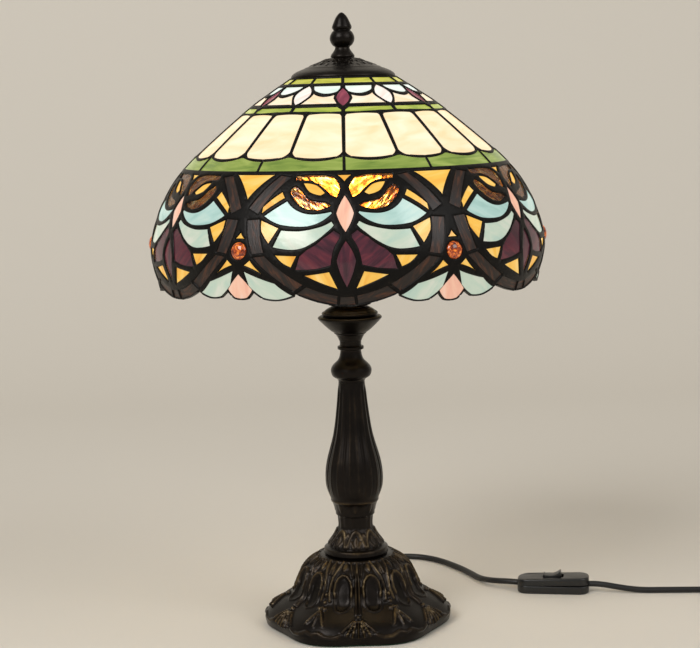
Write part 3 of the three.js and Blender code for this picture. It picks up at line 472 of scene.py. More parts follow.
# ------------------------------------------------------------------ lampholder
# A brass plated shell with a porcelain insert and a brass contact. The insert is glazed white,
# and the shell has fine spinning marks.
def satin_brass():
    material, tree, shader = new_material("satin_brass")
    place = add(tree, "TexCoord").outputs["Object"]
    marks = add(
        tree, "TexWave", {"bands_direction": "Z"}, {"Vector": place, "Scale": 320.0, "Distortion": 2.0},
    )
    tarnish = add(tree, "TexNoise", sockets={"Vector": place, "Scale": 90.0, "Detail": 6.0, "Roughness": 0.7})
    colour = add(tree, "ValToRGB", sockets={"Fac": tarnish.outputs["Fac"]}, stops=[
        (0.3, linear("#7d5f2c")), (0.55, linear("#b08d4a")), (0.8, linear("#c7a660")),
    ])
    rough = add(tree, "MapRange", sockets={"Value": tarnish.outputs["Fac"], "To Min": 0.42, "To Max": 0.24})
    bump = add(tree, "Bump", sockets={"Height": marks.outputs["Fac"], "Strength": 0.15, "Distance": 0.0002})
    tree.links.new(colour.outputs[0], shader.inputs["Base Color"])
    tree.links.new(rough.outputs[0], shader.inputs["Roughness"])
    tree.links.new(bump.outputs[0], shader.inputs["Normal"])
    shader.inputs["Metallic"].default_value = 1.0
    return material


# Glazed porcelain: warm white under a clear glossy glaze, with faint grey specks.
def glazed_porcelain():
    material, tree, shader = new_material("glazed_porcelain")
    place = add(tree, "TexCoord").outputs["Object"]
    specks = add(tree, "TexNoise", sockets={"Vector": place, "Scale": 900.0, "Detail": 2.0})
    colour = add(tree, "ValToRGB", sockets={"Fac": specks.outputs["Fac"]}, stops=[
        (0.25, linear("#cfc8b8")), (0.4, linear("#eee9dd")),
    ])
    tree.links.new(colour.outputs[0], shader.inputs["Base Color"])
    shader.inputs["Roughness"].default_value = 0.12
    shader.inputs["Coat Weight"].default_value = 0.5
    return material


BRASS = satin_brass()
coat(BRASS, "centre_contact", "harp_stud", "shade_top_ring")
coat(glazed_porcelain(), "lampholder_insert")

HOLDER_Z = 258.0
holder_cap = spun("lampholder_cap_spun", [
    (ROD_HOLE, HOLDER_Z), (7.5, HOLDER_Z), (7.5, HOLDER_Z + 3), (12, HOLDER_Z + 3.4), (15.5, HOLDER_Z + 4.9),
    (18.4, HOLDER_Z + 7.4), (19.5, HOLDER_Z + 10), (19.5, HOLDER_Z + 15), (20.0, HOLDER_Z + 15.6),
    (20.0, HOLDER_Z + 17.4), (19.4, HOLDER_Z + 18), (18.3, HOLDER_Z + 18), (18.3, HOLDER_Z + 10.4),
    (14.4, HOLDER_Z + 6.2), (12, HOLDER_Z + 5.3), (ROD_HOLE, HOLDER_Z + 5.3),
], 96)
soft_shading(holder_cap, 35)
finish_piece(holder_cap, BRASS, "lamp", "brass", "lampholder_cap")

SHELL_Z = 276.3
holder_shell = spun("lampholder_shell_spun", [
    (18.3, SHELL_Z), (19.5, SHELL_Z), (19.5, SHELL_Z + 6), (19.0, SHELL_Z + 6.8), (19.5, SHELL_Z + 7.6),
    (19.5, SHELL_Z + 24), (19.0, SHELL_Z + 24.8), (19.5, SHELL_Z + 25.6), (19.5, SHELL_Z + 29),
    (19.0, SHELL_Z + 30.4), (17.8, SHELL_Z + 31), (15.2, SHELL_Z + 31), (15.2, SHELL_Z + 29.8),
    (18.3, SHELL_Z + 29.8),
], 96)
soft_shading(holder_shell, 35)
finish_piece(holder_shell, BRASS, "lamp", "brass", "lampholder_shell")


# ------------------------------------------------------------------ bulb
# A lit warm white bulb: a frosted glass pear that glows all over, on a threaded cap of
# pressed metal.
def lit_frosted_glass():
    material, tree, shader = new_material("frosted_bulb_glass_lit")
    place = add(tree, "TexCoord").outputs["Object"]
    frost = add(tree, "TexNoise", sockets={"Vector": place, "Scale": 260.0, "Detail": 4.0})
    glow = add(tree, "ValToRGB", sockets={"Fac": frost.outputs["Fac"]}, stops=[
        (0.3, linear("#ffdca6")), (0.7, linear("#fff0cf")),
    ])
    tree.links.new(glow.outputs[0], shader.inputs["Emission Color"])
    tree.links.new(glow.outputs[0], shader.inputs["Base Color"])
    shader.inputs["Emission Strength"].default_value = 12.0
    shader.inputs["Roughness"].default_value = 0.5
    shader.inputs["IOR"].default_value = 1.5
    return material


BULB_Z = 303.1
bulb_outside = smooth([
    (12.8, BULB_Z), (13.8, BULB_Z + 8), (18.5, BULB_Z + 22), (25.5, BULB_Z + 35), (29.2, BULB_Z + 46),
    (30.0, BULB_Z + 54), (28.2, BULB_Z + 64), (23.0, BULB_Z + 73), (14.0, BULB_Z + 80), (5.0, BULB_Z + 82.6),
    (0.0, BULB_Z + 83),
], 60)
bulb_inside = smooth([
    (0.0, BULB_Z + 82), (13.2, BULB_Z + 79), (27.2, BULB_Z + 63), (29.0, BULB_Z + 54),
    (24.5, BULB_Z + 35), (12.8, BULB_Z + 8), (11.8, BULB_Z),
], 24)
bulb = spun("bulb_pear", [*bulb_outside, *bulb_inside], 64)
soft_shading(bulb, 60)
finish_piece(bulb, lit_frosted_glass(), "bulb", "bulb_glass", "bulb_glass")

THREAD_Z = 277.3
THREAD_TOP = THREAD_Z + 25.5
THREAD_RADIUS = 12.6
THREAD_DEPTH = 0.6
thread = [(0.0, THREAD_Z), (5.0, THREAD_Z), (9.0, THREAD_Z + 3), (12.4, THREAD_Z + 5)]
for i in range(49):
    thread.append((THREAD_RADIUS + THREAD_DEPTH * math.cos(i * math.pi / 4), THREAD_Z + 5 + i * 0.42))
bulb_cap = spun("bulb_cap_threaded", [*thread, (THREAD_RADIUS, THREAD_TOP), (0.0, THREAD_TOP)], 64)
soft_shading(bulb_cap, 50)
finish_piece(bulb_cap, STEEL, "bulb", "steel", "bulb_cap")

# ------------------------------------------------------------------ harp
# A strap of bent metal under the lampholder carries two ears. A loop of brass plated wire stands
# on them and holds the shade up by the stud at its top, and a sliding ferrule locks each foot.
STRAP_HALF = 6.0
EAR_PLACE = 24.0
strap_side = [
    (-26, 264.9), (-22, 264.9), (-15.4, 259.2), (-11, 257.9), (11, 257.9), (15.4, 259.2), (22, 264.9),
    (26, 264.9), (26, 263.2), (22.6, 263.2), (16, 257.6), (11, 256.2), (-11, 256.2), (-16, 257.6),
    (-22.6, 263.2), (-26, 263.2),
]


# A closed block between two equal outlines, given in mm.
def block_between(name, near, far):
    count = len(near)
    block = from_faces(name, np.array([*near, *far]) * MM, faces=[
        range(count), range(2 * count - 1, count - 1, -1),
        *[(i, i + count, (i + 1) % count + count, (i + 1) % count) for i in range(count)],
    ])
    pick(block, "EDIT")
    bpy.ops.mesh.normals_make_consistent(inside=False)
    pick(block)
    return block


# Cuts the tool out of the piece, or joins it on, and takes the tool away.
def cut_with(piece, tool, operation="DIFFERENCE"):
    pick(piece)
    cutting = piece.modifiers.new("cut", "BOOLEAN")
    cutting.object = tool
    cutting.operation = operation
    cutting.solver = "EXACT"
    bpy.ops.object.modifier_apply(modifier="cut")
    bpy.data.objects.remove(tool)


saddle = block_between(
    "harp_saddle_strap",
    [(x, -STRAP_HALF, z) for x, z in strap_side],
    [(x, STRAP_HALF, z) for x, z in strap_side],
)
for x, r, low, high, operation in (
    (0, ROD_HOLE, 250, 265, "DIFFERENCE"),
    (-EAR_PLACE, 1.7, 264, 274.7, "UNION"),
    (EAR_PLACE, 1.7, 264, 274.7, "UNION"),
):
    bpy.ops.object.select_all(action="DESELECT")
    bpy.ops.mesh.primitive_cylinder_add(
        vertices=32, radius=r * MM, depth=(high - low) * MM, location=(x * MM, 0, (low + high) / 2 * MM),
    )
    cut_with(saddle, bpy.context.object, operation)
soft_shading(saddle, 35)
finish_piece(saddle, BRONZE, "lamp", "brass", "harp_saddle")

HARP_Z = 275.0
HARP_TOP = 440.2
WIRE_RADIUS = 1.6
right_leg = [
    (EAR_PLACE, HARP_Z), (EAR_PLACE, HARP_Z + 9), (EAR_PLACE, HARP_Z + 18), (24.6, HARP_Z + 25),
    (30, HARP_Z + 33.5),
    (38.5, HARP_Z + 42.5), (44, HARP_Z + 52), (48, HARP_Z + 82.6), (45, HARP_Z + 115.6),
    (31.7, HARP_TOP - 20), (14.4, HARP_TOP - 2.5),
]
wire_data = bpy.data.curves.new("harp_wire", "CURVE")
wire_data.dimensions = "3D"
wire_data.bevel_depth = WIRE_RADIUS * MM
wire_data.bevel_resolution = 3
wire_data.use_fill_caps = True
wire_line = wire_data.splines.new("POLY")
left_half = [(-x, 0, z) for x, z in right_leg]
right_half = [(x, 0, z) for x, z in right_leg[::-1]]
wire_points = smooth([*left_half, (0, 0, HARP_TOP), *right_half], 128)
wire_line.points.add(len(wire_points) - 1)
for point, where in zip(wire_line.points, wire_points):
    point.co = (*(where * MM), 1)
wire = bpy.data.objects.new("harp_wire", wire_data)
bpy.context.scene.collection.objects.link(wire)
pick(wire)
bpy.ops.object.convert(target="MESH")
soft_shading(wire, 50)
finish_piece(wire, BRASS, "lamp", "brass", "harp")

for side, x in (("left", -EAR_PLACE), ("right", EAR_PLACE)):
    ferrule = spun("ferrule_sleeve_" + side, [
        (2.1, 268.5), (3.4, 268.5), (3.7, 269.3), (3.2, 270.2), (3.0, 271), (3.0, 278), (3.2, 278.8),
        (3.7, 279.7), (3.4, 280.5), (2.1, 280.5),
    ], 40)
    move_to(ferrule, places(ferrule) + np.array([x * MM, 0, 0]))
    soft_shading(ferrule, 35)
    finish_piece(ferrule, BRASS, "ferrule_" + side, "brass", "ferrule_" + side)

# ------------------------------------------------------------------ vented cap
# A cast cap that covers the crown of the shade. Twelve flowers of four small holes let the
# bulb's heat out, and its edge is a plain rolled rim.
CAP_TOP = 449.8
CAP_UNDER = 447.4
CAP_RIM = 434.3
cap_outside = smooth([
    (3.3, CAP_TOP), (9.5, CAP_TOP), (18.6, CAP_TOP - 3.4), (27.8, CAP_TOP - 7.0), (36.4, CAP_TOP - 10.4),
    (39.6, CAP_RIM + 2.8), (40.4, CAP_RIM + 1.2), (39.9, CAP_RIM),
], 56)
cap_inside = smooth([
    (37.6, CAP_RIM), (33.0, CAP_TOP - 11.6), (22.6, CAP_TOP - 7.2), (11.2, CAP_UNDER), (3.3, CAP_UNDER),
], 30)
cap = spun("vented_cap", [*cap_outside, *cap_inside], 192)


def cap_relief(turn, slope, radius):
    a = np.abs((turn + 15) % 30 - 15)
    petals = np.maximum.reduce([
        ridge(a, slope, radius, [(0, 9.5), (0, 13)], 1.3, 0.5, taper=True),
        ridge(a, slope, radius, [(4, 14.5), (12, 11)], 1.1, 0.5, taper=True),
        ridge(a, slope, radius, [(0, 19.5), (0, 24)], 1.6, 0.5, taper=True),
        ridge(a, slope, radius, [(15, 15), (10, 21)], 1.2, 0.5, taper=True),
    ])
    return petals + 0.35 * np.exp(-((slope - 26.5) / 0.9) ** 2)


points, radius, turn, relief = find_relief(cap, cap_outside, cap_relief)
push_out(cap, points, relief, rubbed_at=1.2)
# Each hole is cut right through by a small eight sided pin, placed round the cap.
HOLE_PIN_LENGTH = 14
pins = []
for count, reach, size, first in ((12, 13.4, 1.2, 15.0), (24, 18.2, 1.35, 7.5), (12, 23.0, 1.3, 15.0)):
    for i in range(count):
        a = math.radians(first + i * 360 / count)
        bpy.ops.object.select_all(action="DESELECT")
        bpy.ops.mesh.primitive_cylinder_add(
            vertices=8, radius=size * MM, depth=HOLE_PIN_LENGTH * MM,
            location=(reach * MM * math.sin(a), -reach * MM * math.cos(a), (CAP_TOP - 4) * MM),
        )
        pins.append(bpy.context.object)
bpy.ops.object.select_all(action="DESELECT")
for pin in pins:
    pin.select_set(True)
bpy.context.view_layer.objects.active = pins[0]
bpy.ops.object.join()
cut_with(cap, bpy.context.object)
soft_shading(cap, 40)
finish_piece(cap, BRONZE, "shade", "cast_bronze", "crown_cap")

# ------------------------------------------------------------------ finial
# A turned knob that screws down on the stud and clamps the cap. It is shaped like a closed bud
# over a ball, on a flared foot.
FINIAL_Z = 450.1
FINIAL_HEIGHT = 34.3
finial_outside = smooth([
    (r, FINIAL_Z + FINIAL_HEIGHT * up) for r, up in [
        (0.0, 1.0), (1.9, 0.975), (4.4, 0.89), (6.4, 0.77), (7.6, 0.675), (7.2, 0.625), (6.5, 0.6),
        (8.2, 0.545), (9.5, 0.45), (9.3, 0.36), (7.6, 0.27), (5.7, 0.225), (6.3, 0.16), (8.4, 0.075),
        (9.3, 0.03), (9.2, 0.0),
    ]
], 90)
BORE_RADIUS = 3.3
BORE_TOP = 466.5
bore = [(BORE_RADIUS, FINIAL_Z), (BORE_RADIUS, BORE_TOP), (0.0, BORE_TOP)]
finial = spun("finial_buds", [*finial_outside, *bore], 128)
soft_shading(finial, 60)
finish_piece(finial, BRONZE, "finial", "cast_bronze", "finial")

# ------------------------------------------------------------------ shade pattern
# The shade is laid out on a form: its outline from the crown's edge to the lower edge, and the
# place of a point given as degrees round it and mm below the crown's edge.
CROWN_Z = 434.0
CROWN_RADIUS = 40.6
SHADE_RADIUS = 153.0
SHADE_HEIGHT = 160.5
GLASS_THICKNESS = 3.0
form = smooth([
    (CROWN_RADIUS + (SHADE_RADIUS - CROWN_RADIUS) * out, CROWN_Z - SHADE_HEIGHT * down) for out, down in [
        (0, 0), (0.254, 0.118), (0.518, 0.266), (0.747, 0.412), (0.885, 0.545),
        (0.964, 0.675), (1, 0.793), (0.982, 0.892), (0.942, 1),
    ]
], 1600)
form_run = np.concatenate([[0], np.cumsum(np.hypot(*np.diff(form, axis=0).T))])
form_tangent = np.gradient(form, form_run, axis=0)


def slope_at(drop):
    extra = np.maximum(np.asarray(drop, float) - SHADE_HEIGHT, 0)
    return np.interp(drop, CROWN_Z - form[:, 1], form_run) + extra


# The shade is hand made, so its pattern is half a degree round from true, and the corner between
# the front medallion and the next one on the left is set 4 mm high.
def by_hand(turn, slope):
    near = np.clip(1 - np.abs((turn + 210) % 360 - 180) / 25, 0, 1)
    near = near * near * (3 - 2 * near)
    high = near * np.clip((slope - 135) / 35, 0, 1)
    low = near * np.clip((slope - 172) / 35, 0, 1)
    return turn - 0.5 - 1.0 * low, slope - 3.2 * high - 1.2 * low


# The place in space of points of the pattern, and so far outside the face of the glass.
def on_shade(turn, slope, height):
    turn, slope = by_hand(turn, slope)
    within = np.clip(slope, 0, form_run[-1])
    r = np.interp(within, form_run, form[:, 0])
    z = np.interp(within, form_run, form[:, 1])
    tr = np.interp(within, form_run, form_tangent[:, 0])
    tz = np.interp(within, form_run, form_tangent[:, 1])
    over = slope - within
    r = r + over * tr - tz * height
    z = z + over * tz + tr * height
    a = np.radians(turn)
    return np.stack([r * np.sin(a), -r * np.cos(a), z], axis=1) * MM


def width_at(slope):
    return np.interp(slope, form_run, form[:, 0]) * math.pi / 180


# An outline is a list of corners (degrees, drop, bow): the side after a corner bows outwards by
# so many mm, or inwards where bow is negative. The solder laps over its edge all round.
SOLDER_LAP = 0.2


def outline(corners, step=1.6):
    turn = np.array([c[0] for c in corners], float)
    slope = slope_at([c[1] for c in corners])
    wide = width_at(slope.mean())
    flat = np.stack([turn * wide, slope], axis=1)
    nxt = np.roll(flat, -1, axis=0)
    turning = np.sum(flat[:, 0] * nxt[:, 1] - nxt[:, 0] * flat[:, 1])
    points = []
    for i, corner in enumerate(corners):
        bow = corner[2] if len(corner) > 2 else 0.0
        side = nxt[i] - flat[i]
        long = max(np.hypot(*side), 1e-6)
        out = np.array([side[1], -side[0]]) / long * math.copysign(1, turning)
        steps = max(1, round(long / step))
        for t in np.arange(steps) / steps:
            points.append(flat[i] + side * t + out * 4 * bow * t * (1 - t))
    points = np.array(points)
    along = np.roll(points, -1, axis=0) - np.roll(points, 1, axis=0)
    along *= math.copysign(SOLDER_LAP, turning) / np.hypot(*along.T)[:, None]
    points += np.stack([-along[:, 1], along[:, 0]], axis=1)
    points[:, 0] /= wide
    return points if turning > 0 else points[::-1]


drawing = []


# Cuts and places one kind of glass. Each cut is (corners, mirrored or not, grain angle), and it
# is repeated six times round the shade. A cut is first sliced every 3 degrees and every 7 mm, so
# that the flat outline can bend to the form.
def lay_glass(name, cuts, material, slot_name, replaced=()):
    points, faces, grain = [], [], []
    for corners, mirrored, angle in cuts:
        shape = outline(corners)
        drawing.append(shape)
        hands = [(shape, angle)]
        if mirrored:
            hands.append((shape[::-1] * np.array([-1, 1]), -angle))
            if shape[:, 0].max() > 20:
                drawing.append(np.stack([60 - shape[::-1][:, 0], shape[::-1][:, 1]], axis=1))
        for piece_points, piece_angle in hands:
            faces.append(range(len(points), len(points) + len(piece_points)))
            points.extend(piece_points)
            grain.append(piece_angle)
    flat = from_faces(name, [(p[0] / 10, p[1] / 10, 0) for p in points], faces=faces)
    numbers = flat.data.attributes.new("cut", "INT", "FACE")
    numbers.data.foreach_set("value", np.arange(len(faces), dtype=np.int32))
    pick(flat, "EDIT")
    low, high = min(p[0] for p in points), max(p[0] for p in points)
    for turn in np.arange(math.ceil(low / 3) * 3 + 1.37, high, 3.0):
        bpy.ops.mesh.select_all(action="SELECT")
        bpy.ops.mesh.bisect(plane_co=(turn / 10, 0, 0), plane_no=(1, 0, 0))
    low, high = min(p[1] for p in points), max(p[1] for p in points)
    for slope in np.arange(math.ceil(low / 7) * 7 + 0.31, high, 7.0):
        bpy.ops.mesh.select_all(action="SELECT")
        bpy.ops.mesh.bisect(plane_co=(0, slope / 10, 0), plane_no=(0, 1, 0))
    pick(flat)
    plan = places(flat)[:, :2] * 10
    sides = [list(face.vertices) for face in flat.data.polygons]
    cut_of = np.empty(len(sides), np.int32)
    flat.data.attributes["cut"].data.foreach_get("value", cut_of)
    bpy.data.objects.remove(flat)
    all_points, all_faces, all_uv = [], [], []
    for sector in range(6):
        start = sector * len(plan)
        all_points.extend(on_shade(plan[:, 0] + 60 * sector, plan[:, 1], 0.0))
        for side, number in zip(sides, cut_of):
            all_faces.append([start + v for v in reversed(side)])
            angle = math.radians(grain[number])
            seed = (number * 7 + sector * 13) % 31
            for v in reversed(side):
                across = plan[v][0] * width_at(plan[v][1])
                down = plan[v][1]
                all_uv.append((
                    (across * math.cos(angle) + down * math.sin(angle)) * MM + seed * 0.173,
                    (down * math.cos(angle) - across * math.sin(angle)) * MM + seed * 0.311,
                ))
    glass = from_faces(name, all_points, faces=all_faces)
    layer = glass.data.uv_layers.new(name="cut_from_sheet")
    layer.data.foreach_set("uv", np.array(all_uv, np.float32).ravel())
    pick(glass)
    solid = glass.modifiers.new("thickness", "SOLIDIFY")
    solid.thickness = GLASS_THICKNESS * MM
    solid.offset = -1
    bpy.ops.object.modifier_apply(modifier="thickness")
    soft_shading(glass, 30)
    return finish_piece(glass, material, "shade", slot_name, *replaced)


# Opalescent sheet glass, rolled and hand cut: white clouds and streaks of colour a few mm wide
# run through it, and its face has a soft ripple. The bulb's light through it is painted in as a
# glow in the glass's own colours, strongest near the bulb, and glow sets how strong it is.
def opal_glass(name, colours, streak=6.0, length=30.0, ripple=0.0002, glow=0.8, rough=0.16):
    material, tree, shader = new_material(name)
    uv = add(tree, "TexCoord").outputs["UV"]
    cut = add(tree, "Mapping", sockets={"Vector": uv, "Scale": (1000 / streak, 1000 / length, 1.0)})
    streaks = add(
        tree, "TexNoise",
        sockets={"Vector": cut.outputs[0], "Scale": 1.0, "Detail": 4.0, "Distortion": 0.8},
    )
    even = (len(colours) - 1) or 1
    colour = add(tree, "ValToRGB", sockets={"Fac": streaks.outputs["Fac"]}, stops=[
        (0.3 + 0.4 * i / even, linear(c)) for i, c in enumerate(colours)
    ])
    place = add(tree, "TexCoord").outputs["Object"]
    # Painted glow: full within 0.1 m of the bulb's middle, falling to 0.8 by 0.17 m.
    away = add(tree, "VectorMath", {"operation": "DISTANCE"}, {0: place, 1: (0.0, 0.0, 0.357)})
    near = add(tree, "MapRange", sockets={
        "Value": away.outputs["Value"], "From Min": 0.1, "From Max": 0.17, "To Min": 1.0, "To Max": 0.8,
    })
    painted_glow_colour = add(tree, "VectorMath", {"operation": "SCALE"}, {0: colour.outputs[0], "Scale": near.outputs[0]})
    roll = add(tree, "TexNoise", sockets={"Vector": cut.outputs[0], "Scale": 2.3, "Detail": 2.0})
    bump = add(tree, "Bump", sockets={"Height": roll.outputs["Fac"], "Strength": 0.4, "Distance": ripple})
    # The glass's own colour under the studio light, dulled to 0.3 so that the painted glow carries it.
    dull = add(tree, "VectorMath", {"operation": "SCALE"}, {0: colour.outputs[0], "Scale": 0.3})
    tree.links.new(dull.outputs[0], shader.inputs["Base Color"])
    tree.links.new(painted_glow_colour.outputs[0], shader.inputs["Emission Color"])
    tree.links.new(bump.outputs[0], shader.inputs["Normal"])
    shader.inputs["Emission Strength"].default_value = glow
    shader.inputs["Roughness"].default_value = rough
    shader.inputs["IOR"].default_value = 1.52
    return material


# ------------------------------------------------------------------ top green band
# Twelve narrow strips of yellow green glass under the cap's rim. They lie close over the bulb,
# so their painted glow is at its strongest.
STREAKY_YELLOW_GREEN = opal_glass("streaky_yellow_green_glass", ["#a4a636", "#c2c042", "#d6d268"])
lay_glass("glass_strips_top", [
    ([(1.6, 0.4), (28.6, 0.4), (28.9, 4.4), (1.2, 4.4)], True, 80),
], STREAKY_YELLOW_GREEN, "green_glass", ["glass_top_green"])

# ------------------------------------------------------------------ crown ring
# A ring of plum diamonds and pale pink leaves in turn, with a half lens of pale sea green and a
# peach piece between each two.
PLUM = opal_glass("plum_glass", ["#6a2439", "#8e3c50", "#a04a58"])
lay_glass("glass_crown_diamonds", [
    ([(0, 7.9, 0.9), (4.6, 14.6, 0.9), (0, 21.2, 0.9), (-4.6, 14.6, 0.9)], False, 20),
], PLUM, "crown_glass", ["glass_crown_ring"])
PALE_PINK = opal_glass("pale_pink_opal_glass", ["#ffd9cd", "#fff0e6", "#fffaf2"])
lay_glass("glass_crown_leaves", [
    ([(30, 6.0, 1.5), (36.2, 12.4, 1.2), (30, 19.9, 1.2), (23.8, 12.4, 1.5)], False, 40),
], PALE_PINK, "crown_glass")
PALE_SEA = opal_glass("pale_sea_opal_glass", ["#cfe9dc", "#e9f4ec", "#f6fbf2"])
lay_glass("glass_crown_lenses", [
    ([(2.0, 6.2), (25.2, 6.2, 0.0), (23.4, 8.6, 1.0), (13.5, 12.2, 1.0), (4.4, 10.8), (2.0, 8.0)], True, 80),
], PALE_SEA, "crown_glass")
PEACH = opal_glass("peach_opal_glass", ["#ffdcae", "#ffe9c8", "#fff3dc"])
lay_glass("glass_crown_peach", [
    ([(5.9, 12.9, -0.6), (13.5, 14.2, -0.8), (21.8, 11.6, -0.4), (23.4, 15.2), (27.0, 19.6),
      (3.6, 19.6, 0.0), (6.2, 15.4, 0.0)], True, 70),
], PEACH, "crown_glass")

# ------------------------------------------------------------------ upper green band
# Twelve strips of grass green glass under the crown ring, cut from streaky sheet and soldered
# in over copper foil.
STREAKY_GRASS_GREEN = opal_glass("streaky_grass_green_glass", ["#8ba03a", "#adba48", "#c6cd6a"])
lay_glass("glass_strips_upper", [
    ([(3.2, 21.8), (28.9, 21.8, 0.0), (29.1, 24.6, 0.4), (20.8, 24.9, 0.5), (1.0, 25.4, 0.0),
      (1.0, 23.8)], True, 85),
], STREAKY_GRASS_GREEN, "green_glass", ["glass_upper_green"])

# ------------------------------------------------------------------ cream panels
# Eighteen tall panels of cream opal glass. Their upper ends are gently domed and their lower
# ends hang in a shallow curve.
CREAM = opal_glass("cream_opal_glass", ["#ffd9a8", "#ffe6bd", "#fff0d0"], streak=14.0, length=40.0, glow=0.88)
lay_glass("glass_panels_cream", [
    ([(1.9, 26.9, 0.9), (18.2, 26.9, 0.3), (19.1, 28.6), (19.45, 53.4, 0.4), (17.6, 56.6, 1.9),
      (2.4, 56.6, 0.4), (0.55, 53.4), (0.9, 28.6, 0.3)], True, 90),
    ([(21.9, 26.9, 0.9), (38.1, 26.9, 0.3), (39.1, 28.6), (39.45, 53.4, 0.4), (37.6, 56.6, 1.9),
      (22.4, 56.6, 0.4), (20.55, 53.4), (20.9, 28.6, 0.3)], False, 90),
], CREAM, "cream_glass", ["glass_cream"])

# ------------------------------------------------------------------ lower green band
# Twelve longer strips of leaf green glass. Their upper side follows the hanging curves of the
# cream panels.
STREAKY_LEAF_GREEN = opal_glass("streaky_leaf_green_glass", ["#6a8434", "#899e46", "#a2b25a"])
lay_glass("glass_strips_lower", [
    ([(0.45, 56.7, -4.2), (19.5, 56.7, 0.0), (20.5, 56.7, -1.0), (29.6, 59.4, 0.0), (29.6, 66.2, 0.0),
      (0.45, 66.2)], True, 88),
], STREAKY_LEAF_GREEN, "green_glass", ["glass_lower_green"])

# ------------------------------------------------------------------ belt: brown borders
# Each of the six medallions has a round border of dark streaky brown glass. It is cut in short
# pieces, because a long curved strip would crack.
STREAKY_BROWN = opal_glass(
    "streaky_brown_glass", ["#0e0603", "#241207", "#5c3015"], streak=2.2, length=14.0, ripple=0.0005,
    glow=0.5, rough=0.42,
)
lay_glass("glass_borders", [
    ([(16.8, 70.2, 0.0), (20.6, 68.9, 1.4), (28.7, 91.6, 0.0), (25.4, 95.8, -2.0)], True, -40),
    ([(24.5, 99.6, 0.0), (28.4, 100.4, 1.2), (25.9, 126.0, 0.0), (22.5, 124.4, -0.9)], True, 10),
    ([(22.2, 126.5, 0.0), (25.6, 128.2, 1.2), (14.4, 150.5, 0.0), (11.8, 145.3, -0.9)], True, 35),
    ([(10.9, 146.6, 0.0), (13.5, 151.9, 0.9), (2.9, 159.0), (2.6, 152.8, -0.6)], True, 70),
    ([(-1.9, 153.6), (1.9, 153.6), (2.2, 159.4), (-2.2, 159.4)], False, 80),
], STREAKY_BROWN, "medallion_glass", ["medallion_%d" % i for i in range(1, 7)])

# ------------------------------------------------------------------ belt: rippled amber
# The eye pieces are clear rippled amber glass. It lets the bulb shine through, so it is
# nearly white in places and burnt brown in others.
def rippled_amber():
    material, tree, shader = new_material("rippled_amber_glass")
    uv = add(tree, "TexCoord").outputs["UV"]
    cut = add(tree, "Mapping", sockets={"Vector": uv, "Scale": (380.0, 140.0, 1.0)})
    streaks = add(
        tree, "TexNoise",
        sockets={"Vector": cut.outputs[0], "Scale": 1.0, "Detail": 4.0, "Distortion": 1.2},
    )
    colour = add(tree, "ValToRGB", sockets={"Fac": streaks.outputs["Fac"]}, stops=[
        (0.36, linear("#5a2008")), (0.48, linear("#b4651c")), (0.58, linear("#e8a548")),
        (0.7, linear("#fff0c0")),
    ])
    ripples = add(tree, "TexNoise", sockets={"Vector": cut.outputs[0], "Scale": 0.9, "Detail": 2.0})
    bump = add(tree, "Bump", sockets={"Height": ripples.outputs["Fac"], "Strength": 0.8, "Distance": 0.001})
    tree.links.new(colour.outputs[0], shader.inputs["Base Color"])
    tree.links.new(bump.outputs[0], shader.inputs["Normal"])
    shader.inputs["Transmission Weight"].default_value = 0.95
    shader.inputs["Roughness"].default_value = 0.12
    shader.inputs["IOR"].default_value = 1.52
    return material


RIPPLED_AMBER = rippled_amber()
lay_glass("glass_ears", [
    ([(1.3, 76.8, 0.5), (3.2, 70.6, 0.5), (8.6, 69.0, 0.2), (15.4, 69.4, 0.3), (15.2, 72.3, 0.0),
      (10.6, 72.8, -0.6), (6.8, 77.0, -0.2), (4.3, 82.2, 0.2), (2.4, 84.4, 0.5)], True, 60),
    ([(14.9, 76.2, 0.4), (16.4, 79.0, 0.6), (14.9, 85.6, 0.6), (11.6, 91.4, 0.5), (7.8, 93.0, 0.4),
      (3.9, 89.8, 0.0), (5.6, 87.7, -0.3), (9.9, 86.0, -0.5), (12.7, 80.0, 0.0)], True, 50),
], RIPPLED_AMBER, "medallion_glass")

# ------------------------------------------------------------------ belt: amber pieces
# Flat honey coloured opal glass fills the corners inside and between the medallions. It is cut
# from even sheet with hardly any streaks.
HONEY = opal_glass("honey_opal_glass", ["#eda63f", "#f9c254", "#fdd27c"], streak=8.0, glow=0.9)
lay_glass("glass_ambers", [
    ([(-2.2, 69.2), (2.2, 69.2, -0.2), (0, 73.6, -0.2)], False, 30),
    ([(5.8, 81.2, 0.3), (8.4, 76.0, 0.7), (12.6, 74.4, 0.4), (10.5, 80.4, 0.5), (7.1, 82.9, 0.2)], True, 60),
    ([(18.9, 80.2, 0.6), (24.2, 90.6, 0.0), (24.2, 95.2, -0.5), (17.8, 84.2)], True, 50),
    ([(18.6, 105.8, 0.0), (24.0, 100.4, 0.4), (23.6, 109.0, 0.2), (21.2, 117.4, 0.0)], True, 50),
    ([(13.2, 124.8, 0.0), (19.1, 125.4, 0.3), (17.0, 130.6, 0.2), (14.7, 133.2, 0.0)], True, 30),
    ([(4.6, 135.4, 0.0), (11.2, 138.4, 0.4), (2.5, 147.8, 0.0)], True, 20),
    ([(22.8, 68.4, 0.0), (37.2, 68.4, -1.3), (30, 85.2, -1.3)], False, 80),
    ([(30, 110.0, -0.2), (31.4, 114.6, 0.0), (28.6, 114.6, -0.2)], False, 10),
    ([(22.7, 140.0, -0.5), (26.4, 130.4, 0.0), (28.1, 134.4, -0.4)], True, 40),
], HONEY, "medallion_glass")

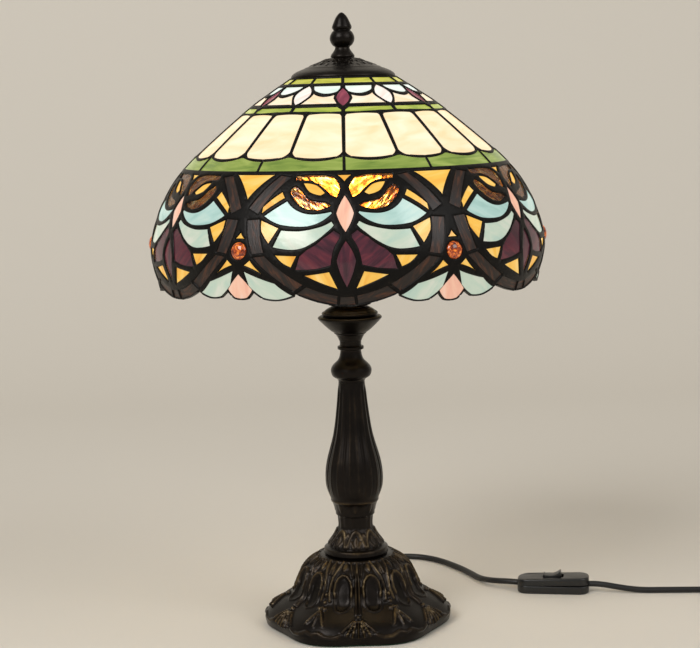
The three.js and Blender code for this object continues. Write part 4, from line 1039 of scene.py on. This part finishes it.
# ------------------------------------------------------------------ belt: wings
# Two pairs of wings in each medallion: sea blue opal above, paler grey green below. The petals
# between the medallions are cut from the paler sheet too.
SEA_BLUE = opal_glass("sea_blue_opal_glass", ["#a3c8bf", "#b6d8d0", "#cbe2d6"], streak=10.0)
lay_glass("glass_wings_upper", [
    ([(16.9, 86.4, 0.4), (23.3, 97.2, 0.7), (18.3, 103.2, 0.7), (10.6, 104.0, 0.5), (6.5, 100.5, 0.3),
      (3.7, 95.2, 0.0), (3.9, 94.0, -0.3), (8.8, 95.6, -0.6), (12.9, 93.8, -0.9)], True, 70),
], SEA_BLUE, "medallion_glass")
PALE_GREY_GREEN = opal_glass("pale_grey_green_opal_glass", ["#b9d2c2", "#cad9c5", "#dde0cf"], streak=10.0)
lay_glass("glass_wings_lower", [
    ([(3.8, 100.6, -0.2), (6.4, 103.8, -0.4), (12.7, 107.3, -0.2), (17.8, 107.2, 0.0),
      (19.9, 119.8, 0.4), (14.4, 120.8, 0.9), (9.3, 116.0, 0.4), (5.3, 108.4, 0.3),
      (3.1, 103.2, 0.0)], True, 60),
    ([(14.8, 153.8, -0.6), (19.4, 146.0, -0.6), (28.2, 138.8, 0.0), (27.0, 149.4, 0.6),
      (22.9, 157.7, 0.5), (18.8, 157.9, 0.4)], True, 50),
], PALE_GREY_GREEN, "medallion_glass")

# ------------------------------------------------------------------ belt: pink and plum
# A pink diamond joins the wings, with a plum teardrop and two wide plum petals below it. One
# rounded pink petal hangs under each cabochon.
ROSE = opal_glass("rose_opal_glass", ["#f7b59c", "#ffc9ac", "#ffdccb"], streak=9.0)
lay_glass("glass_pinks", [
    ([(0, 83.0, 0.6), (2.5, 95.2, 0.7), (0, 108.2, 0.7), (-2.5, 95.2, 0.6)], False, 5),
    ([(30, 141.0, 0.3), (34.0, 152.4, 0.5), (32.0, 158.8, 0.9), (28.0, 158.8, 0.5),
      (26.0, 152.4, 0.3)], False, 5),
], ROSE, "medallion_glass")
STREAKY_PLUM = opal_glass(
    "streaky_plum_glass", ["#30141f", "#46202e", "#5c2634", "#70303a"], streak=5.0, glow=0.7,
)
lay_glass("glass_plums", [
    ([(1.5, 109.6, 0.0), (3.2, 106.6, -0.3), (6.1, 111.8, -0.6), (10.3, 119.8, 0.0), (12.4, 124.8, 0.0),
      (13.5, 134.6, 0.2), (8.3, 133.5, 0.2), (4.1, 130.8, -0.2), (3.3, 120.0, -0.3),
      (1.6, 112.0, 0.0)], True, 50),
    ([(0, 114.0, 0.8), (2.6, 127.6, 0.9), (0, 146.8, 0.9), (-2.6, 127.6, 0.8)], False, 5),
], STREAKY_PLUM, "medallion_glass")

# ------------------------------------------------------------------ cabochons
# Six cabochons of amber glass, pressed in a mould with a domed front. Each is held in a ring of
# solder between two medallions.
JEWEL_DROP = 124.0
SEAT_REACH = 6.2
ring_turns = np.linspace(0, 360, 29)[:-1]
seat_slope = float(slope_at(JEWEL_DROP))
seat_outline = np.stack([
    30 + SEAT_REACH * np.sin(np.radians(ring_turns)) / width_at(seat_slope),
    seat_slope - SEAT_REACH * np.cos(np.radians(ring_turns)),
], axis=1)
drawing.append(seat_outline)


# Pressed amber glass: clear deep orange, smooth and glossy, in darker and lighter swirls. The
# bulb's light through it is painted in as a faint glow in the same colours.
def pressed_amber():
    material, tree, shader = new_material("pressed_amber_glass")
    place = add(tree, "TexCoord").outputs["Object"]
    swirl = add(tree, "TexNoise", sockets={"Vector": place, "Scale": 260.0, "Detail": 3.0, "Distortion": 1.5})
    colour = add(tree, "ValToRGB", sockets={"Fac": swirl.outputs["Fac"]}, stops=[
        (0.38, linear("#4a1404")), (0.52, linear("#9a3d0e")), (0.68, linear("#e0802c")),
    ])
    tree.links.new(colour.outputs[0], shader.inputs["Base Color"])
    # Painted glow: the bulb's light through the glass.
    tree.links.new(colour.outputs[0], shader.inputs["Emission Color"])
    shader.inputs["Emission Strength"].default_value = 0.6
    shader.inputs["Roughness"].default_value = 0.05
    shader.inputs["IOR"].default_value = 1.52
    shader.inputs["Coat Weight"].default_value = 0.6
    return material


AMBER_CABOCHON = pressed_amber()
dome = [(0.0, 3.4), (2.6, 3.1), (4.6, 2.3), (5.9, 1.1), (6.5, -0.4), (6.2, -1.4), (0.0, -1.6)]
for i in range(6):
    cabochon = spun("cabochon_%d" % (i + 1), smooth(dome, 24), 36)
    seat_turn, seat_down = np.array([30.0 + 60 * i]), np.array([seat_slope])
    seat = on_shade(seat_turn, seat_down, -1.5)[0]
    out = Vector(on_shade(seat_turn, seat_down, -0.5)[0] - seat)
    lean = np.array(Vector((0, 0, 1)).rotation_difference(out).to_matrix())
    move_to(cabochon, (places(cabochon) + np.array([0, 0, 1.5]) * MM) @ lean.T + seat)
    soft_shading(cabochon, 50)
    finish_piece(cabochon, AMBER_CABOCHON, "shade", "amber_glass", "jewel_%d" % (i + 1))

# ------------------------------------------------------------------ solder
# Every piece of glass is edged with copper foil, and a bead of solder joins them inside and out.
# It is stained black brown, stands proud in a rounded bead, and is broad where many pieces meet.
SOLDER_HEIGHT = 0.95
BEAD_HALF = 0.8
EDGE_LEAD = 1.9
SOLDER_GRID = 2.6
loops = [shape for shape in drawing if shape[:, 0].min() < 32 and shape[:, 0].max() > -2]
sides = [
    shape + (np.roll(shape, -1, axis=0) - shape) * part for shape in loops for part in (0, 0.25, 0.5, 0.75)
]
sides = np.concatenate(sides)
edge_turn = np.linspace(0, 30, 121)
aside = np.abs(sides[:, 0] - edge_turn[:, None]) * width_at(sides[:, 1])
lead = np.sqrt(np.clip(EDGE_LEAD**2 - aside**2, 0, None))
edge_line = np.stack([edge_turn, np.where(aside < EDGE_LEAD, sides[:, 1] + lead, 0).max(1)], axis=1)
side_slopes = np.linspace(0, 1, 110)
left_line = np.stack([np.zeros(110), edge_line[0, 1] * side_slopes], axis=1)
right_line = np.stack([np.full(110, 30.0), edge_line[-1, 1] * side_slopes], axis=1)
top_line = np.stack([np.linspace(0, 30, 18), np.zeros(18)], axis=1)


def on_paper(points):
    return np.stack([points[:, 0] * width_at(points[:, 1]), points[:, 1]], axis=1)


segments_a = np.concatenate([on_paper(shape) for shape in loops] + [on_paper(edge_line[:-1])])
segments_b = np.concatenate(
    [on_paper(np.roll(shape, -1, axis=0)) for shape in loops] + [on_paper(edge_line[1:])]
)


def from_glass(points):
    best = np.full(len(points), 1e9)
    d = segments_b - segments_a
    long = np.maximum((d * d).sum(1), 1e-12)
    for start in range(0, len(points), 500):
        p = points[start : start + 500, None, :]
        t = np.clip(((p - segments_a) * d).sum(2) / long, 0, 1)
        away = np.hypot(*np.moveaxis(p - segments_a - t[:, :, None] * d, 2, 0))
        best[start : start + 500] = away.min(1)
    return best


def inside_any(points):
    found = np.zeros(len(points), bool)
    for shape in loops:
        a = on_paper(shape)
        b = np.roll(a, -1, axis=0)
        x, y = points[:, 0][:, None], points[:, 1][:, None]
        crosses = (a[:, 1] > y) != (b[:, 1] > y)
        with np.errstate(divide="ignore", invalid="ignore"):
            at = a[:, 0] + (y - a[:, 1]) * (b[:, 0] - a[:, 0]) / (b[:, 1] - a[:, 1])
        found |= (crosses & (x < at)).sum(1) % 2 == 1
    return found


paper, lines = [], []
for shape in loops:
    first = len(paper)
    count = len(shape)
    paper.extend(on_paper(shape))
    lines.extend((first + i, first + (i + 1) % count) for i in range(count))
for line in (edge_line, left_line, right_line, top_line):
    first = len(paper)
    paper.extend(on_paper(line))
    lines.extend((first + i, first + i + 1) for i in range(len(line) - 1))
crest = []
for shape in loops:
    flat_shape = on_paper(shape)
    along = np.roll(flat_shape, -1, axis=0) - np.roll(flat_shape, 1, axis=0)
    along /= np.maximum(np.hypot(*along.T), 1e-9)[:, None]
    for reach in (0.45, 0.9):
        crest.append(flat_shape + np.stack([along[:, 1], -along[:, 0]], axis=1) * reach)
mesh_x, mesh_y = np.meshgrid(np.arange(0, 84, SOLDER_GRID), np.arange(1, form_run[-1] + 2, SOLDER_GRID))
crest.append(np.stack([mesh_x.ravel(), mesh_y.ravel()], axis=1))
crest = np.concatenate(crest)
crest_turn = crest[:, 0] / width_at(crest[:, 1])
crest = crest[(crest_turn > 0.1) & (crest_turn < 29.9) & (crest[:, 1] > 0.3)]
crest = crest[~inside_any(crest)]
crest = crest[from_glass(crest) > 0.3]
paper.extend(crest)
made = delaunay_2d_cdt([Vector(p) for p in paper], lines, [], 0, 1e-5)
sheet_points = np.array([tuple(v) for v in made[0]])
triangles = np.array([tuple(f) for f in made[2]])
centres = sheet_points[triangles].mean(1)
centre_turn = centres[:, 0] / width_at(centres[:, 1])
lowest = np.interp(centre_turn, edge_line[:, 0], edge_line[:, 1])
keep = (centre_turn > 0) & (centre_turn < 30) & (centres[:, 1] > 0) & (centres[:, 1] < lowest)
keep &= ~inside_any(centres)
triangles = triangles[keep]
used, triangles = np.unique(triangles, return_inverse=True)
triangles = triangles.reshape(-1, 3)
sheet_points = sheet_points[used]
sheet_turn = sheet_points[:, 0] / width_at(sheet_points[:, 1])
deep = np.clip(from_glass(sheet_points) / BEAD_HALF, 0, 1)
bead = 0.05 + SOLDER_HEIGHT * (1 - (1 - deep) ** 2)
rim = sheet_points[:, 1] >= np.interp(sheet_turn, edge_line[:, 0], edge_line[:, 1]) - 1e-3
bead = np.where(rim, -GLASS_THICKNESS / 2, bead)
solder_points, solder_faces = [], []
for outside, height in ((True, bead), (False, -GLASS_THICKNESS - bead)):
    for sector in range(6):
        for hand in (1, -1):
            first = len(solder_points)
            solder_points.extend(on_shade(60 * sector + hand * sheet_turn, sheet_points[:, 1], height))
            order = triangles if (hand == 1) == outside else triangles[:, ::-1]
            solder_faces.extend((order + first).tolist())
solder = from_faces("solder_lines", solder_points, faces=solder_faces)
pick(solder, "EDIT")
bpy.ops.mesh.remove_doubles(threshold=2e-5)
pick(solder)
soft_shading(solder, 70)


# Solder over copper foil with a black brown stain: a soft metal sheen, a little lumpy, with paler
# tin showing through in small spots.
def stained_solder():
    material, tree, shader = new_material("stained_solder")
    place = add(tree, "TexCoord").outputs["Object"]
    lumps = add(tree, "TexNoise", sockets={"Vector": place, "Scale": 500.0, "Detail": 3.0})
    stain = add(tree, "TexNoise", sockets={"Vector": place, "Scale": 120.0, "Detail": 5.0, "Roughness": 0.7})
    colour = add(tree, "ValToRGB", sockets={"Fac": stain.outputs["Fac"]}, stops=[
        (0.35, linear("#080706")), (0.62, linear("#100d0a")), (0.85, linear("#2b251f")),
    ])
    bump = add(tree, "Bump", sockets={"Height": lumps.outputs["Fac"], "Strength": 0.35, "Distance": 0.0004})
    tree.links.new(colour.outputs[0], shader.inputs["Base Color"])
    tree.links.new(bump.outputs[0], shader.inputs["Normal"])
    shader.inputs["Metallic"].default_value = 0.7
    shader.inputs["Roughness"].default_value = 0.45
    return material


finish_piece(solder, stained_solder(), "shade", "cast_bronze")


# ------------------------------------------------------------------ flex
# A black PVC flex of 5 mm leaves the back of the foot through a ribbed bush, runs round to the
# inline switch, and goes on to a neat coil with the plug beside it.
def black_pvc():
    material, tree, shader = new_material("black_pvc_flex")
    place = add(tree, "TexCoord").outputs["Object"]
    skin = add(tree, "TexNoise", sockets={"Vector": place, "Scale": 700.0, "Detail": 3.0})
    colour = add(tree, "ValToRGB", sockets={"Fac": skin.outputs["Fac"]}, stops=[
        (0.3, linear("#060606")), (0.7, linear("#121111")),
    ])
    bump = add(tree, "Bump", sockets={"Height": skin.outputs["Fac"], "Strength": 0.15, "Distance": 0.0002})
    tree.links.new(colour.outputs[0], shader.inputs["Base Color"])
    tree.links.new(bump.outputs[0], shader.inputs["Normal"])
    shader.inputs["Roughness"].default_value = 0.42
    shader.inputs["IOR"].default_value = 1.5
    return material


PVC = black_pvc()
FLEX_RADIUS = 2.5
CORD_LIE = 2.6
EXIT_Z = 8.5
SWITCH_MIDDLE = 7.0
switch_turn = math.radians(-10)
switch_x, switch_y = 166.0, 66.5


def on_switch(along):
    return (switch_x + along * math.cos(switch_turn), switch_y + along * math.sin(switch_turn), SWITCH_MIDDLE)


def flex(name, line):
    data = bpy.data.curves.new(name, "CURVE")
    data.dimensions = "3D"
    data.bevel_depth = FLEX_RADIUS * MM
    data.bevel_resolution = 4
    data.use_fill_caps = True
    data.resolution_u = 5
    spline = data.splines.new("BEZIER")
    spline.bezier_points.add(len(line) - 1)
    for point, where in zip(spline.bezier_points, line):
        point.co = Vector(where) * MM
        point.handle_left_type = point.handle_right_type = "AUTO"
    cord = bpy.data.objects.new(name, data)
    bpy.context.scene.collection.objects.link(cord)
    data.materials.append(PVC)
    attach(cord, "lamp")
    return cord


def length_of(cord):
    bare = cord.data.copy()
    bare.bevel_depth = 0
    holder = bpy.data.objects.new("measure", bare)
    line = bpy.data.meshes.new_from_object(holder)
    points = np.array([v.co for v in line.vertices])
    bpy.data.meshes.remove(line)
    bpy.data.objects.remove(holder)
    return float(np.linalg.norm(np.diff(points, axis=0), axis=1).sum())


to_switch = flex("flex_to_switch", [
    (0, 70, EXIT_Z), (0, 84, EXIT_Z), (0, 95.9, EXIT_Z), (0, 108, 8), (0.5, 121, 6.4), (2, 135, 4.2),
    (6, 149, 2.9),
    (13, 162, CORD_LIE), (24, 173, CORD_LIE), (38, 179.5, CORD_LIE), (53, 178.5, CORD_LIE),
    (66, 171.5, CORD_LIE), (77, 160, CORD_LIE), (86, 146, CORD_LIE), (94, 131.5, CORD_LIE),
    (100.4, 117, CORD_LIE), (105.8, 103.5, 2.9), (111.6, 92, 4.2), (119.6, 82, 5.8), (129.3, 75.6, 6.8),
    on_switch(-27), on_switch(-17.4),
])
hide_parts("cord_to_switch")

COIL_X, COIL_Y = 332.0, 12.25
PLUG_X, PLUG_Y, PLUG_Z = 364.5, -55.0, 6.8
plug_turn = math.radians(-101)


def behind_plug(back):
    return (PLUG_X - back * math.cos(plug_turn), PLUG_Y - back * math.sin(plug_turn), PLUG_Z)


line = [
    on_switch(17.4), on_switch(30), on_switch(36), (209, 58.6, 6.4), (218, 57, 5), (228, 55.4, 3.6),
    (240, 53.9, CORD_LIE), (256, 52.4, CORD_LIE), (272, 51.2, CORD_LIE), (292, 50, CORD_LIE),
    (312, 49.8, CORD_LIE),
]
COIL_TURNS = 6.25
for i in range(round(COIL_TURNS * 16) + 1):
    done = i / 16
    reach = np.interp(done, [0, 3, 3.25, 6.25], [37.5, 22.5, 22.5, 37.5])
    height = np.interp(done, [0, 0.3, 2.9, 3.35, 6.25], [CORD_LIE, 3.1, 3.1, 8.2, 8.2])
    angle = math.radians(90 - 360 * done)
    line.append((COIL_X + reach * math.cos(angle), COIL_Y + reach * math.sin(angle), height))
line += [(COIL_X + 38.2, COIL_Y - 20, 7.2), behind_plug(34), behind_plug(22), behind_plug(6), behind_plug(-6)]
to_plug = flex("flex_to_plug", line)
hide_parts("cord_from_switch", "cord_coil", "cord_to_plug")

# The bush is a ribbed taper of soft rubber that keeps the flex from kinking at the foot.
bush_outline = [(2.6, 55.5), (6.2, 55.5), (6.2, 57.3), (4.6, 57.3), (4.6, 70)]
for i in range(9):
    y = 71 + i * 2.7
    r = 4.6 - 0.1 * i
    bush_outline += [(r, y), (r, y + 1.5), (r - 0.5, y + 1.8), (r - 0.5, y + 2.5)]
bush = spun("flex_bush", [*bush_outline, (3.5, 95.6), (2.6, 95.6)], 40)
points = places(bush)
move_to(bush, np.stack([points[:, 0], points[:, 2], EXIT_Z * MM - points[:, 1]], axis=1))
soft_shading(bush, 35)


# Soft black rubber: quite matt, with a faint bloom.
def soft_rubber():
    material, tree, shader = new_material("moulded_soft_rubber")
    place = add(tree, "TexCoord").outputs["Object"]
    bloom = add(tree, "TexNoise", sockets={"Vector": place, "Scale": 180.0, "Detail": 4.0})
    colour = add(tree, "ValToRGB", sockets={"Fac": bloom.outputs["Fac"]}, stops=[
        (0.3, linear("#0d0d0d")), (0.75, linear("#201f1e")),
    ])
    tree.links.new(colour.outputs[0], shader.inputs["Base Color"])
    shader.inputs["Roughness"].default_value = 0.7
    return material


RUBBER = soft_rubber()
finish_piece(bush, RUBBER, "lamp", "rubber", "cord_bush")

# A soft strap, 9 mm wide, goes once round the turns of the coil and laps over itself on top.
STRAP_THICK = 0.45
STRAP_REACH = 4.5
TURNS_X = COIL_X - 29.4
TURNS_Z = 5.65
CORNER_ACROSS = 5.7
CORNER_UP = 2.3
strap_points = []
for i in range(26):
    angle = math.radians(82.5 + 15 * i)
    corner_x = TURNS_X + math.copysign(CORNER_ACROSS, math.cos(angle))
    corner_z = TURNS_Z + math.copysign(CORNER_UP, math.sin(angle))
    inner = np.interp(i, [21, 24], [2.8, 2.9 + STRAP_THICK])
    outer = inner + STRAP_THICK
    for y, r in ((-STRAP_REACH, inner), (-STRAP_REACH, outer), (STRAP_REACH, outer), (STRAP_REACH, inner)):
        where = (corner_x + r * math.cos(angle), COIL_Y + y, corner_z + r * math.sin(angle))
        strap_points.append(Vector(where) * MM)
strap_faces = [
    (4 * i + side, 4 * i + (side + 1) % 4, 4 * i + 4 + (side + 1) % 4, 4 * i + 4 + side)
    for i in range(25) for side in range(4)
]
strap = from_faces("flex_strap", strap_points, faces=[(0, 3, 2, 1), *strap_faces, (100, 101, 102, 103)])
pick(strap, "EDIT")
bpy.ops.mesh.normals_make_consistent(inside=False)
pick(strap)
soft_shading(strap, 40)
finish_piece(strap, RUBBER, "lamp", "rubber")

coat(PVC, "lead_under_base", "lead_in_rod")


# ------------------------------------------------------------------ inline switch
# Two moulded halves of black ABS with blunt rounded ends, screwed together from below, and a
# rocker that tips between off and on.
def moulded_black():
    material, tree, shader = new_material("moulded_black_abs")
    place = add(tree, "TexCoord").outputs["Object"]
    spark = add(tree, "TexNoise", sockets={"Vector": place, "Scale": 1500.0, "Detail": 2.0})
    colour = add(tree, "ValToRGB", sockets={"Fac": spark.outputs["Fac"]}, stops=[
        (0.3, linear("#080808")), (0.7, linear("#121212")),
    ])
    bump = add(tree, "Bump", sockets={"Height": spark.outputs["Fac"], "Strength": 0.2, "Distance": 0.0001})
    tree.links.new(colour.outputs[0], shader.inputs["Base Color"])
    tree.links.new(bump.outputs[0], shader.inputs["Normal"])
    shader.inputs["Roughness"].default_value = 0.3
    shader.inputs["IOR"].default_value = 1.53
    return material


ABS = moulded_black()


# A rounded block on the switch's own axes, in mm: its corners are bevelled, and it is then
# turned to lie along the flex.
def moulded_block(name, size, centre, corner, edge):
    bpy.ops.object.select_all(action="DESELECT")
    bpy.ops.mesh.primitive_cube_add(size=1, location=(0, 0, 0))
    piece = bpy.context.object
    piece.name = name
    move_to(piece, places(piece) * np.array(size) * MM)
    for face_group, width, count in (("upright", corner, 8), ("all", edge, 4)):
        pick(piece, "EDIT")
        bpy.ops.mesh.select_mode(type="EDGE")
        bpy.ops.mesh.select_all(action="DESELECT")
        bpy.ops.object.mode_set(mode="OBJECT")
        for e in piece.data.edges:
            a, b = (piece.data.vertices[v].co for v in e.vertices)
            upright = abs((b - a).normalized().z) > 0.9
            level = abs(a.z - b.z) < 1e-6
            e.select = upright if face_group == "upright" else level
        bpy.ops.object.mode_set(mode="EDIT")
        bpy.ops.mesh.bevel(offset=width * MM, segments=count, affect="EDGES")
    pick(piece)
    move_to(piece, places(piece) + np.array(centre) * MM)
    return piece


def lay_on_switch(piece):
    turn = np.array(Matrix.Rotation(switch_turn, 3, "Z"))
    move_to(piece, places(piece) @ turn.T + np.array([switch_x, switch_y, 0]) * MM)


SWITCH_LENGTH = 60.0
SWITCH_WIDTH = 22.0
END_ROUND = 8.5
lower_half = moulded_block(
    "switch_lower_half", (SWITCH_LENGTH, SWITCH_WIDTH, 6.7), (0, 0, 3.5), END_ROUND, 1.0,
)
upper_half = moulded_block(
    "switch_upper_half", (SWITCH_LENGTH, SWITCH_WIDTH, 6.9), (0, 0, 10.6), END_ROUND, 1.4,
)
# The top slopes down by 2.4 mm towards the end that faces the lamp.
points = places(upper_half)
towards_end = np.clip((-9 * MM - points[:, 0]) / (21 * MM), 0, 1)
points[:, 2] -= 2.4 * MM * towards_end * (points[:, 2] > 8.5 * MM)
move_to(upper_half, points)
cut_with(upper_half, moulded_block("window", (17.6, 9.6, 12), (0, 0, 14), 1.0, 0.2))
for half in (lower_half, upper_half):
    soft_shading(half, 35)
    lay_on_switch(half)
finish_piece(lower_half, ABS, "lamp", "black_plastic", "switch_base")
finish_piece(upper_half, ABS, "lamp", "black_plastic", "switch_cover")

rocker_side = [
    (-7.4, 9.6), (0, 8.2), (7.4, 9.6), (7.5, 16.2), (7.1, 16.8), (5.1, 15.6), (2.5, 15.0), (0, 14.8),
    (-2.5, 15.0), (-5.1, 15.6), (-7.1, 16.8), (-7.5, 16.2),
]


# Rounds every edge that is sharper than the given angle.
def round_edges(piece, width, segments, angle=30):
    pick(piece)
    rounding = piece.modifiers.new("edges", "BEVEL")
    rounding.width = width * MM
    rounding.segments = segments
    rounding.limit_method = "ANGLE"
    rounding.angle_limit = math.radians(angle)
    bpy.ops.object.modifier_apply(modifier="edges")


ROCKER_HALF = 4.5
REST_TIP = -11
rocker = block_between(
    "rocker_button",
    [(x, -ROCKER_HALF, z) for x, z in rocker_side],
    [(x, ROCKER_HALF, z) for x, z in rocker_side],
)
round_edges(rocker, 0.5, 3)
tip = np.array(Matrix.Rotation(math.radians(REST_TIP), 3, "Y"))
pivot = np.array([0, 0, 10.8]) * MM
move_to(rocker, (places(rocker) - pivot) @ tip.T + pivot)
lay_on_switch(rocker)
soft_shading(rocker, 35)
finish_piece(rocker, ABS, "rocker", "black_plastic", "rocker")
coat(BRASS, "switch_contact")
coat(STEEL, "switch_screw_1", "switch_screw_2")
coat(ABS, "cord_clamp_1", "cord_clamp_2")


# ------------------------------------------------------------------ plug
# A moulded black two pin plug with a ribbed relief and brass pins. It is cast round the end of
# the flex, so it can't be opened.
def lay_at_plug(piece):
    turn = np.array(Matrix.Rotation(plug_turn, 3, "Z"))
    move_to(piece, places(piece) @ turn.T + np.array([PLUG_X, PLUG_Y, PLUG_Z]) * MM)


PLUG_HALF_THICK = 6.4
plan = [(0, -6.5), (12.6, -8.5), (25.2, -13), (36, -13), (36, 13), (25.2, 13), (12.6, 8.5), (0, 6.5)]
plug = block_between(
    "plug_moulded",
    [(x, y, -PLUG_HALF_THICK) for x, y in plan],
    [(x, y, PLUG_HALF_THICK) for x, y in plan],
)
round_edges(plug, 2.0, 4, angle=15)
lay_at_plug(plug)
soft_shading(plug, 35)
finish_piece(plug, ABS, "lamp", "black_plastic", "plug_body")

PIN_OFFSET = 9.5
pins = []
for number, side in ((1, -1), (2, 1)):
    pin = spun("plug_pin_turned_%d" % number, [
        (0.0, 30.3), (2.4, 30.3), (2.4, 52.6), (2.2, 54.0), (1.4, 54.9), (0.0, 55.0),
    ], 32)
    points = places(pin)
    move_to(pin, np.stack([points[:, 2], points[:, 1] + side * PIN_OFFSET * MM, -points[:, 0]], axis=1))
    lay_at_plug(pin)
    soft_shading(pin, 35)
    finish_piece(pin, BRASS, "lamp", "brass", "plug_pin_%d" % number)
    pins.append(pin)

relief_outline = [(2.6, 0.3), (5.2, 0.3)]
for i in range(7):
    at = 1.0 + i * 3
    r = 5.1 - 0.22 * i
    relief_outline += [(r, at), (r, at + 1.7), (r - 0.6, at + 2.0), (r - 0.6, at + 2.7)]
plug_relief = spun("plug_relief_ribbed", [*relief_outline, (3.4, 22.3), (2.6, 22.3)], 36)
points = places(plug_relief)
move_to(plug_relief, np.stack([-points[:, 2], points[:, 1], points[:, 0]], axis=1))
lay_at_plug(plug_relief)
soft_shading(plug_relief, 35)
finish_piece(plug_relief, RUBBER, "lamp", "rubber", "plug_relief")

length_of(to_switch)
length_of(to_plug)

# ------------------------------------------------------------------ floor and light
# A plain pale floor that sweeps up behind the lamp, and soft studio light from two large
# panels. Neither is part of the lamp.
bpy.ops.object.select_all(action="DESELECT")
FLOOR_HALF = 20.0
sweep = [(-FLOOR_HALF, 0.0), (1.0, 0.0)]
for i in range(1, 31):
    bend = math.radians(i * 3)
    sweep.append((1.0 + math.sin(bend), 1 - math.cos(bend)))
sweep.append((2.0, 4.0))
floor = from_faces("floor", [(x, y, z) for y, z in sweep for x in (-FLOOR_HALF, FLOOR_HALF)], faces=[
    (2 * i, 2 * i + 1, 2 * i + 3, 2 * i + 2) for i in range(len(sweep) - 1)
])
soft_shading(floor, 60)
floor_material, _, floor_shader = new_material("pale_floor")
floor_shader.inputs["Base Color"].default_value = linear("#d9d3c8")
floor_shader.inputs["Roughness"].default_value = 0.6
floor.data.materials.append(floor_material)

world = bpy.data.worlds.new("studio")
world.use_nodes = True
world.node_tree.nodes["Background"].inputs["Color"].default_value = linear("#e8e4de")
world.node_tree.nodes["Background"].inputs["Strength"].default_value = 0.5
bpy.context.scene.world = world
PANEL_SIZE = 2.0
for name, where, power in (("key", (-2.0, -2.6, 2.8), 95), ("fill", (2.6, -2.0, 2.4), 40)):
    light_data = bpy.data.lights.new(name, "AREA")
    light_data.size = PANEL_SIZE
    light_data.energy = power
    light = bpy.data.objects.new(name, light_data)
    light.location = where
    light.rotation_euler = (Vector((0, 0, 0.25)) - Vector(where)).to_track_quat("-Z", "Y").to_euler()
    bpy.context.scene.collection.objects.link(light)
